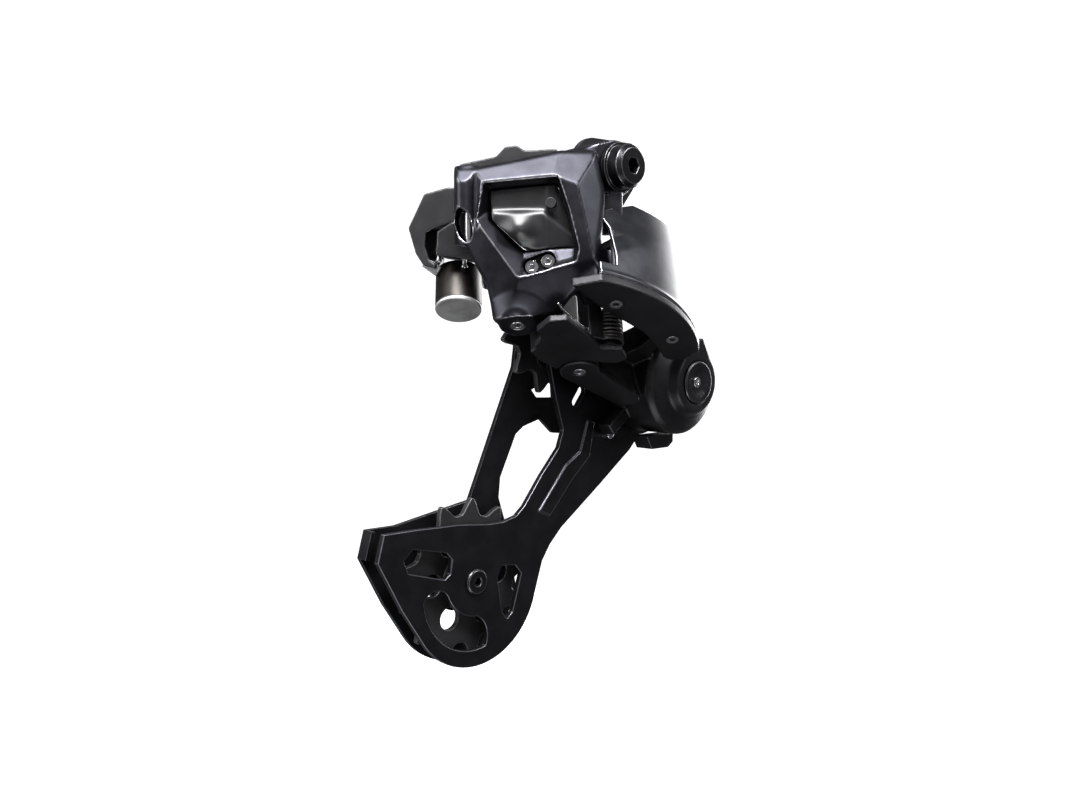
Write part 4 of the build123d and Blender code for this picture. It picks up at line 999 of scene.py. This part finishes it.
@dataclass
class DrivePack:
    """Battery housing, contact pad, motor and gearbox behind the bracket."""

    face: Axes
    hook: tuple[Point, ...] = (
        (-28.9, 20.8), (-32.5, 23.3), (-33.9, 27.9), (-33.5, 32.5), (-30.3, 34.2),
        (-23.4, 34.5), (-23.5, 22.6), (-26.4, 21.2),
    )
    hook_depths: Point = (-16.5, -5.0)
    pad: tuple[Point, ...] = ((-35.9, 21.2), (-32.7, 23.3), (-28.9, 20.7), (-30.8, 17.5))
    pad_depths: Point = (-17.0, -12.2)
    screws: tuple[tuple[float, float, float], ...] = (  # place across the face, lower and upper end
        (-29.4, 22.5, 27.4), (-20.3, 20.4, 24.2),
    )
    screw_depth: float = -11.5
    shank: float = 0.8
    head: float = 1.15

    def screw_radius(self, share: float) -> float:
        """Return the radius of a small screw at a share of its length."""
        return self.shank if 0.3 < share < 0.7 else self.head

    def build(self) -> None:
        """Make and dress the pieces."""
        housing = Piece.from_node("battery_housing").cut_block(self.face, self.hook, *self.hook_depths)
        housing.cast(0.34, 4).place("bracket", COVER)
        pad = Piece.instead_of("contact_pad")
        pad.add_block(self.face, self.pad, *self.pad_depths).bevelled(0.3).place("bracket", PAD)
        for number, (x, low, high) in enumerate(self.screws, 1):
            line = [self.face.at(x, y, self.screw_depth) for y in np.linspace(low, high, 7)]
            screw = tube_along(f"housing_screw_{number}", line, self.screw_radius, 16)
            screw.bevelled(0.15).place("bracket", PIN)
        dress_solids("bracket", 0.4, {"battery_cover": COVER})
        Piece.from_node("gear_housing").cast(0.34, 4).place("bracket", CASE)
        finishes = {"motor_can": MOTOR, "motor_end_cap": MOTOR_END, "motor_magnets": DARK_METAL}
        dress_solids("bracket", 0.3, finishes)
        dress_solids("motor", 0.3, {"motor_rotor": PIN})


@dataclass
class OuterLinkage:
    """Outer link with its polished fairing and its two pins."""

    link: Axes
    rear: Point = (-14.5, -5.6)
    middle: Point = (16.0, -12.0)
    front: Point = (46.2, -2.2)
    low: float = 3.2
    notch_high: float = 7.7
    high: float = 39.0
    rear_limit: tuple[Point, ...] = ((24.0, -8.8), (30.6, -11.4), (39.0, 3.0))  # heights and places
    front_fall: Point = (27.0, 0.62)  # height where the front end starts to lean back, and how fast
    skin: float = 1.1
    crease: tuple[Point, Point] = ((-5.9, 14.7), (28.1, 35.4))
    lean: float = 0.20
    crease_softness: float = 0.35
    bead: tuple[float, float, float] = (0.35, 0.9, 0.5)  # how far it stands out, height over low, width
    columns: int = 110
    foot_columns: int = 14

    def build(self) -> None:
        """Make and dress the pieces."""
        Piece.from_node("outer_link").cast(0.36, 4).place("outer_link", DARK_METAL)
        dress_solids("outer_link", 0.25, {"outer_link_pins": PIN})
        dress_solids("bracket", 0.15, {"outer_upper_bush": BUSH})
        self.fairing().place("outer_link", FAIRING)

    def _arc(self) -> tuple[Vector, float]:
        """Find the arc through the three outline points.

        Returns:
            Its centre and its radius.
        """
        rows = [(*point, 1.0) for point in (self.rear, self.middle, self.front)]
        table = np.array([(2.0 * x, 2.0 * y, 1.0) for x, y, _ in rows])
        squares = np.array([x * x + y * y for x, y, _ in rows])
        cx, cy, rest = np.linalg.solve(table, squares)
        return Vector((cx, cy)), math.sqrt(rest + cx * cx + cy * cy)

    def fairing(self) -> Piece:
        """Make the fairing: a curved shell whose upper rear facet leans in from a rising crease.

        Returns:
            The shell, which replaces the plain fairing.
        """
        centre, radius = self._arc()
        (crease_x, crease_h), (crease_x1, crease_h1) = self.crease
        slope = (crease_h1 - crease_h) / (crease_x1 - crease_x)
        normal = math.hypot(1.0, slope)
        out, rise, width = self.bead
        limit_heights, limits = zip(*self.rear_limit)
        notch = limits[0]
        fall_from, fall = self.front_fall

        def surface(u: float, h: float, inset: float) -> Vector:
            """Find a point of the shell.

            Args:
                u: Place along the link.
                h: Height.
                inset: How far the point is set in.

            Returns:
                The point in the row frame, in millimetres.
            """
            v = centre.y - math.sqrt(max(0.0, radius * radius - (u - centre.x) ** 2))
            above = ((h - crease_h) - slope * (u - crease_x)) / normal
            facet = self.lean * 0.5 * (above + math.sqrt(above * above + self.crease_softness))
            bead = -out * math.exp(-(((h - self.low - rise) / width) ** 2))
            return self.link.at(u, v + facet + bead + inset, h)

        heights = list(np.linspace(self.low, self.notch_high, 9))
        heights += list(np.linspace(self.notch_high, self.high, 64))[1:]
        grid: dict[Cell, tuple[Vector, Vector]] = {}
        for row, h in enumerate(heights):
            left = float(np.interp(h, limit_heights, limits))
            right = self.front[0] - max(0.0, h - fall_from) * fall
            start = -self.foot_columns if h <= self.notch_high + 1e-6 else 0
            for column in range(start, self.columns + 1):
                if column < 0:
                    u = notch + (self.rear[0] - notch) * (-column / self.foot_columns)
                else:
                    u = left + (right - left) * column / self.columns
                grid[row, column] = (surface(u, h, 0.0) * MM, surface(u, h, self.skin) * MM)
        piece = Piece.instead_of("link_fairing")
        with editing(piece.object.data) as shape:
            self._close_shell(shape, grid)
        return piece.bevelled(0.25, 2, 50.0)

    @staticmethod
    def _close_shell(shape: bmesh.types.BMesh, grid: dict[Cell, tuple[Vector, Vector]]) -> None:
        """Make the two faces of a shell and the rim between them.

        Args:
            shape: The empty mesh that takes the shell.
            grid: Outer and inner point for each row and column, in metres.
        """
        verts = {place: tuple(shape.verts.new(point) for point in pair) for place, pair in grid.items()}
        sides: dict[tuple[Cell, Cell], None] = {}
        for row, column in verts:
            corners = [(row, column), (row, column + 1), (row + 1, column + 1), (row + 1, column)]
            if not all(corner in verts for corner in corners):
                continue
            for layer, order in ((0, 1), (1, -1)):
                shape.faces.new([verts[corner][layer] for corner in corners][::order])
            sides.update(dict.fromkeys(zip(corners, corners[1:] + corners[:1])))
        for a, b in sides:
            if (b, a) not in sides:
                shape.faces.new([verts[a][0], verts[b][0], verts[b][1], verts[a][1]])
        bmesh.ops.recalc_face_normals(shape, faces=shape.faces)


@dataclass
class InnerLinkage:
    """Inner link with its bushes, return spring, post and spring arm."""

    link: Axes
    spring_at: Point = (13.0, 14.0)
    spring_radius: float = 4.9
    wire: float = 0.62
    turns: float = 9.0
    turn_points: int = 28
    closing: float = -0.035  # how much closer the end turns lie
    low: float = -5.0
    high: float = 7.4
    strip: tuple[Point, ...] = (
        (-16.0, -1.1), (-13.6, -2.9), (-9.6, -4.0), (-5.5, -4.8), (-2.6, -5.2),
    )
    strip_at: float = 12.0  # distance of the strip inboard of the outer pivots
    strip_radius: float = 0.42

    def strip_wire(self) -> Piece:
        """Bend a wire through the strip's points.

        Returns:
            The wire.
        """
        knots = np.array(self.strip)
        numbers = np.arange(len(knots))
        centres = [
            self.link.at(float(np.interp(t, numbers, knots[:, 0])), self.strip_at,
                         float(np.interp(t, numbers, knots[:, 1])))
            for t in np.linspace(0, len(knots) - 1, 6 * len(knots))
        ]
        return tube_along("spring_arm_strip", centres, lambda share: self.strip_radius, 12).cast(0.16, 3)

    def build(self) -> None:
        """Make and dress the pieces."""
        Piece.from_node("inner_link").cast(0.36, 9).eased(0.3).place("inner_link", DARK_METAL)
        dress_solids("inner_link", 0.2, {"inner_link_bushes": BUSH, "spring_post": DARK_METAL})
        spring = self.spring()
        spring.nodes = ("return_spring",)
        spring.place("inner_link", SPRING)
        Piece.from_node("spring_arm").bevelled(0.2).place("inner_link", DARK_METAL, slot="strip_steel")
        self.strip_wire().place("inner_link", STRIP)

    def spring(self) -> Piece:
        """Wind the return spring, with its end turns lying closer together.

        Returns:
            The spring.
        """
        steps = int(self.turns * self.turn_points)
        points = []
        for step in range(steps + 1):
            share = step / steps
            angle = 2.0 * math.pi * self.turns * share
            eased = share + math.sin(2.0 * math.pi * share) * self.closing
            height = self.low + (self.high - self.low) * eased
            x = self.spring_at[0] + self.spring_radius * math.cos(angle)
            y = self.spring_at[1] + self.spring_radius * math.sin(angle)
            points.append(self.link.at(x, y, height))
        return tube_along("return_spring_wire", points, lambda share: self.wire, 10)


@dataclass
class LowerBody:
    """Body that carries the cage, with its clutch and its cap."""

    cap_centre: Vector

    def build(self) -> None:
        """Make and dress the pieces."""
        Piece.from_node("lower_body").cast(0.42, 5).place("lower_body", DARK_METAL)
        cap = replace(CAP, name="cap_metal_turned", centre=self.cap_centre * MM)
        Piece.from_node("clutch_cap").bevelled(0.25, 3).place("lower_body", cap, slot="cap_metal")
        dress_solids("lower_body", 0.2, {
            "cap_screw": PIN, "body_cover": DARK_METAL, "axle_bush": BUSH, "roller_clutch": PIN,
            "friction_band": SPRING, "clutch_adjuster": DARK_METAL, "outer_lower_bush": BUSH,
            "inner_lower_pin": PIN,
        })
        frame["nodes"]["cage_spring"].data.shade_smooth()


@dataclass
class Cage:
    """Chain cage: plates, axle, stop pin and the fittings of both pulleys."""

    def build(self) -> None:
        """Make and dress the pieces."""
        Piece.from_node("outer_cage_plate").bevelled(0.4, 3, 25.0).place("cage", PLATE)
        Piece.from_node("inner_cage_plate").bevelled(0.35, 3, 25.0).place("cage", PLATE)
        dress_solids("cage", 0.2, {
            "cage_axle": PIN, "cage_seal": RUBBER, "cage_stop_pin": PIN, "guide_bush": BUSH,
            "guide_dust_caps": DUST_CAP, "guide_bolt": BOLT, "tension_bush": BUSH,
            "tension_dust_caps": DUST_CAP, "tension_bolt": BOLT,
        })


@dataclass
class Pulleys:
    """The two toothed pulleys and their bearings."""

    def build(self) -> None:
        """Make and dress the pieces."""
        for name in ("guide", "tension"):
            dress_solids(f"{name}_wheel", 0.3, {f"{name}_pulley": PULLEY})
            dress_solids(f"{name}_wheel", 0.2, {f"{name}_bearing": PIN})


# ------------------------------------------------------------------ studio
@dataclass(frozen=True)
class Softbox:
    """Soft rectangular light that faces the object's middle."""

    name: str
    toward: tuple[float, float, float]  # direction from the middle to the light
    distance: float  # metres
    size: Point  # width and height in metres
    power: float  # watts

    def hang(self) -> bpy.types.Object:
        """Make the light.

        Returns:
            The light.
        """
        light = bpy.data.lights.new(self.name, "AREA")
        light.shape = "RECTANGLE"
        light.size, light.size_y = self.size
        light.energy = self.power
        lamp = bpy.data.objects.new(self.name, light)
        lamp.visible_camera = False
        low, high = CAD_BOX
        direction = Vector(self.toward).normalized()
        lamp.location = (low + high) / 2.0 + direction * self.distance
        lamp.rotation_euler = direction.to_track_quat("Z", "Y").to_euler()
        bpy.context.scene.collection.objects.link(lamp)
        return lamp


@dataclass
class Studio:
    """Pale floor and wall, soft lights and the camera; sizes are in metres."""

    azimuth: float = -43.5
    elevation: float = 4.6
    lens: float = 33.36
    sensor: float = 36.0
    floor: float = -0.40
    wall: float = 2.05
    sweep: float = 0.5  # radius between the floor and the wall
    sweep_start: float = 0.15  # radians
    sides: int = 96
    surroundings: float = 0.19
    glow_on_floor: float = 0.75
    lights: tuple[Softbox, ...] = (
        Softbox("key", (0.93, 0.20, 0.10), 0.80, (0.40, 0.60), 7.0),
        Softbox("top", (-0.44, -0.32, 0.86), 0.80, (0.50, 0.34), 20.0),
        Softbox("left", (-1.0, 0.35, 0.35), 0.85, (0.30, 0.8), 5.0),
        Softbox("bevel", (0.42, -0.70, 0.56), 0.95, (0.24, 0.24), 4.0),
        Softbox("front", (-0.55, -0.95, 0.15), 1.1, (0.5, 0.5), 0.8),
        Softbox("below", (-0.35, -0.45, -0.80), 0.9, (0.5, 0.5), 4.0),
    )
    fairing_light: Softbox = Softbox("fairing_glow", (0.90, 0.34, 0.03), 0.70, (0.50, 0.60), 15.0)

    def build(self) -> None:
        """Make the stage, the lights and the camera."""
        self.backdrop()
        self.world()
        for light in self.lights:
            light.hang()
        glow = self.fairing_light.hang()
        receivers = bpy.data.collections.new("fairing_glow")
        receivers.objects.link(bpy.data.objects["link_fairing_finished"])
        glow.light_linking.receiver_collection = receivers
        self.camera()

    def world(self) -> None:
        """Dim even surroundings."""
        world = bpy.data.worlds.new("studio")
        world.use_nodes = True
        background = world.node_tree.nodes["Background"]
        background.inputs["Color"].default_value = (0.95, 0.97, 1.0, 1.0)
        background.inputs["Strength"].default_value = self.surroundings
        bpy.context.scene.world = world

    def backdrop(self) -> None:
        """Make a floor that sweeps up into a round pale wall."""
        foot = self.wall - self.sweep
        profile = [(0.0, 0.0), (1.2, 0.0), (foot, 0.0)]
        profile += [
            (foot + self.sweep * math.sin(a), self.sweep - self.sweep * math.cos(a))
            for a in np.linspace(self.sweep_start, math.pi / 2, 9)
        ]
        profile += [(self.wall, 1.6), (self.wall, 2.6)]
        turns = [2 * math.pi * number / self.sides for number in range(self.sides)]
        points = [
            Vector((r * math.cos(turn), r * math.sin(turn), z + self.floor)) / MM
            for r, z in profile
            for turn in turns
        ]
        faces = []
        for ring in range(1, len(profile) - 1):
            low, high = ring * self.sides, (ring + 1) * self.sides
            for here in range(self.sides):
                after = (here + 1) % self.sides
                faces.append([low + here, low + after, high + after, high + here])
        faces.append([self.sides + here for here in range(self.sides)])
        stage = Piece.from_faces("studio_floor", points, faces).object
        stage.data.shade_smooth()
        stage.data.materials.append(Graph("studio_floor").surface({
            "Base Color": (0.9, 0.9, 0.9, 1.0),
            "Roughness": 0.9,
            "Emission Color": (1.0, 1.0, 1.0, 1.0),
            "Emission Strength": self.glow_on_floor,
        }))
        stage.visible_diffuse = False
        stage.visible_glossy = False

    def camera(self) -> None:
        """Place the camera."""
        data = bpy.data.cameras.new("camera")
        data.lens = self.lens
        data.sensor_width = self.sensor
        camera = bpy.data.objects.new("camera", data)
        a, e = math.radians(self.azimuth), math.radians(self.elevation)
        back = Vector((math.sin(a) * math.cos(e), -math.cos(a) * math.cos(e), math.sin(e)))
        camera.location = CAMERA_AT
        camera.rotation_euler = (-back).to_track_quat("-Z", "Y").to_euler()
        bpy.context.scene.collection.objects.link(camera)
        bpy.context.scene.camera = camera
        bpy.context.scene.view_settings.view_transform = "Standard"


def dress_remaining() -> None:
    """Give every CAD node that is still shown the finish of its record slot."""
    slots = {m["slot"]: m for m in frame["record"]["materials"]}
    for node, thing in frame["nodes"].items():
        if thing.hide_render:
            continue
        names = [n for n in slots if thing.data.materials and thing.data.materials[0].name.startswith(n)]
        finish = Palette.for_slot(names[0]) if names else SPRING
        thing.data.materials.clear()
        thing.data.materials.append(Palette.of(finish))
        log.info("%s keeps its solid, dressed as %s", node, finish.name)


def main() -> None:
    """Build the object, sub-assembly by sub-assembly, and then the studio."""
    logging.basicConfig(level=logging.INFO, format="%(name)s: %(message)s")
    pin = Vector(joint("shift_pivot")["axis"]).normalized()
    along = Vector(joint("lower_pivot")["pos_m"]) / MM - Vector(joint("shift_pivot")["pos_m"]) / MM
    link = Axes(OUTER_PIVOT, along, pin)
    inner = link.at(*INNER_PIVOT)
    across = Vector((OUTER_PIVOT.x - inner.x, OUTER_PIVOT.y - inner.y, 0.0)).normalized()
    face = Axes(inner, across, across.cross(Vector((0.0, 0.0, 1.0))))
    HangerEnd().build()
    Bracket(face).build()
    Electronics(face).build()
    DrivePack(face).build()
    OuterLinkage(link).build()
    InnerLinkage(link).build()
    LowerBody(Vector(joint("cage_pivot")["pos_m"]) / MM).build()
    Cage().build()
    Pulleys().build()
    dress_remaining()
    Studio().build()


if __name__ == "__main__":
    main()
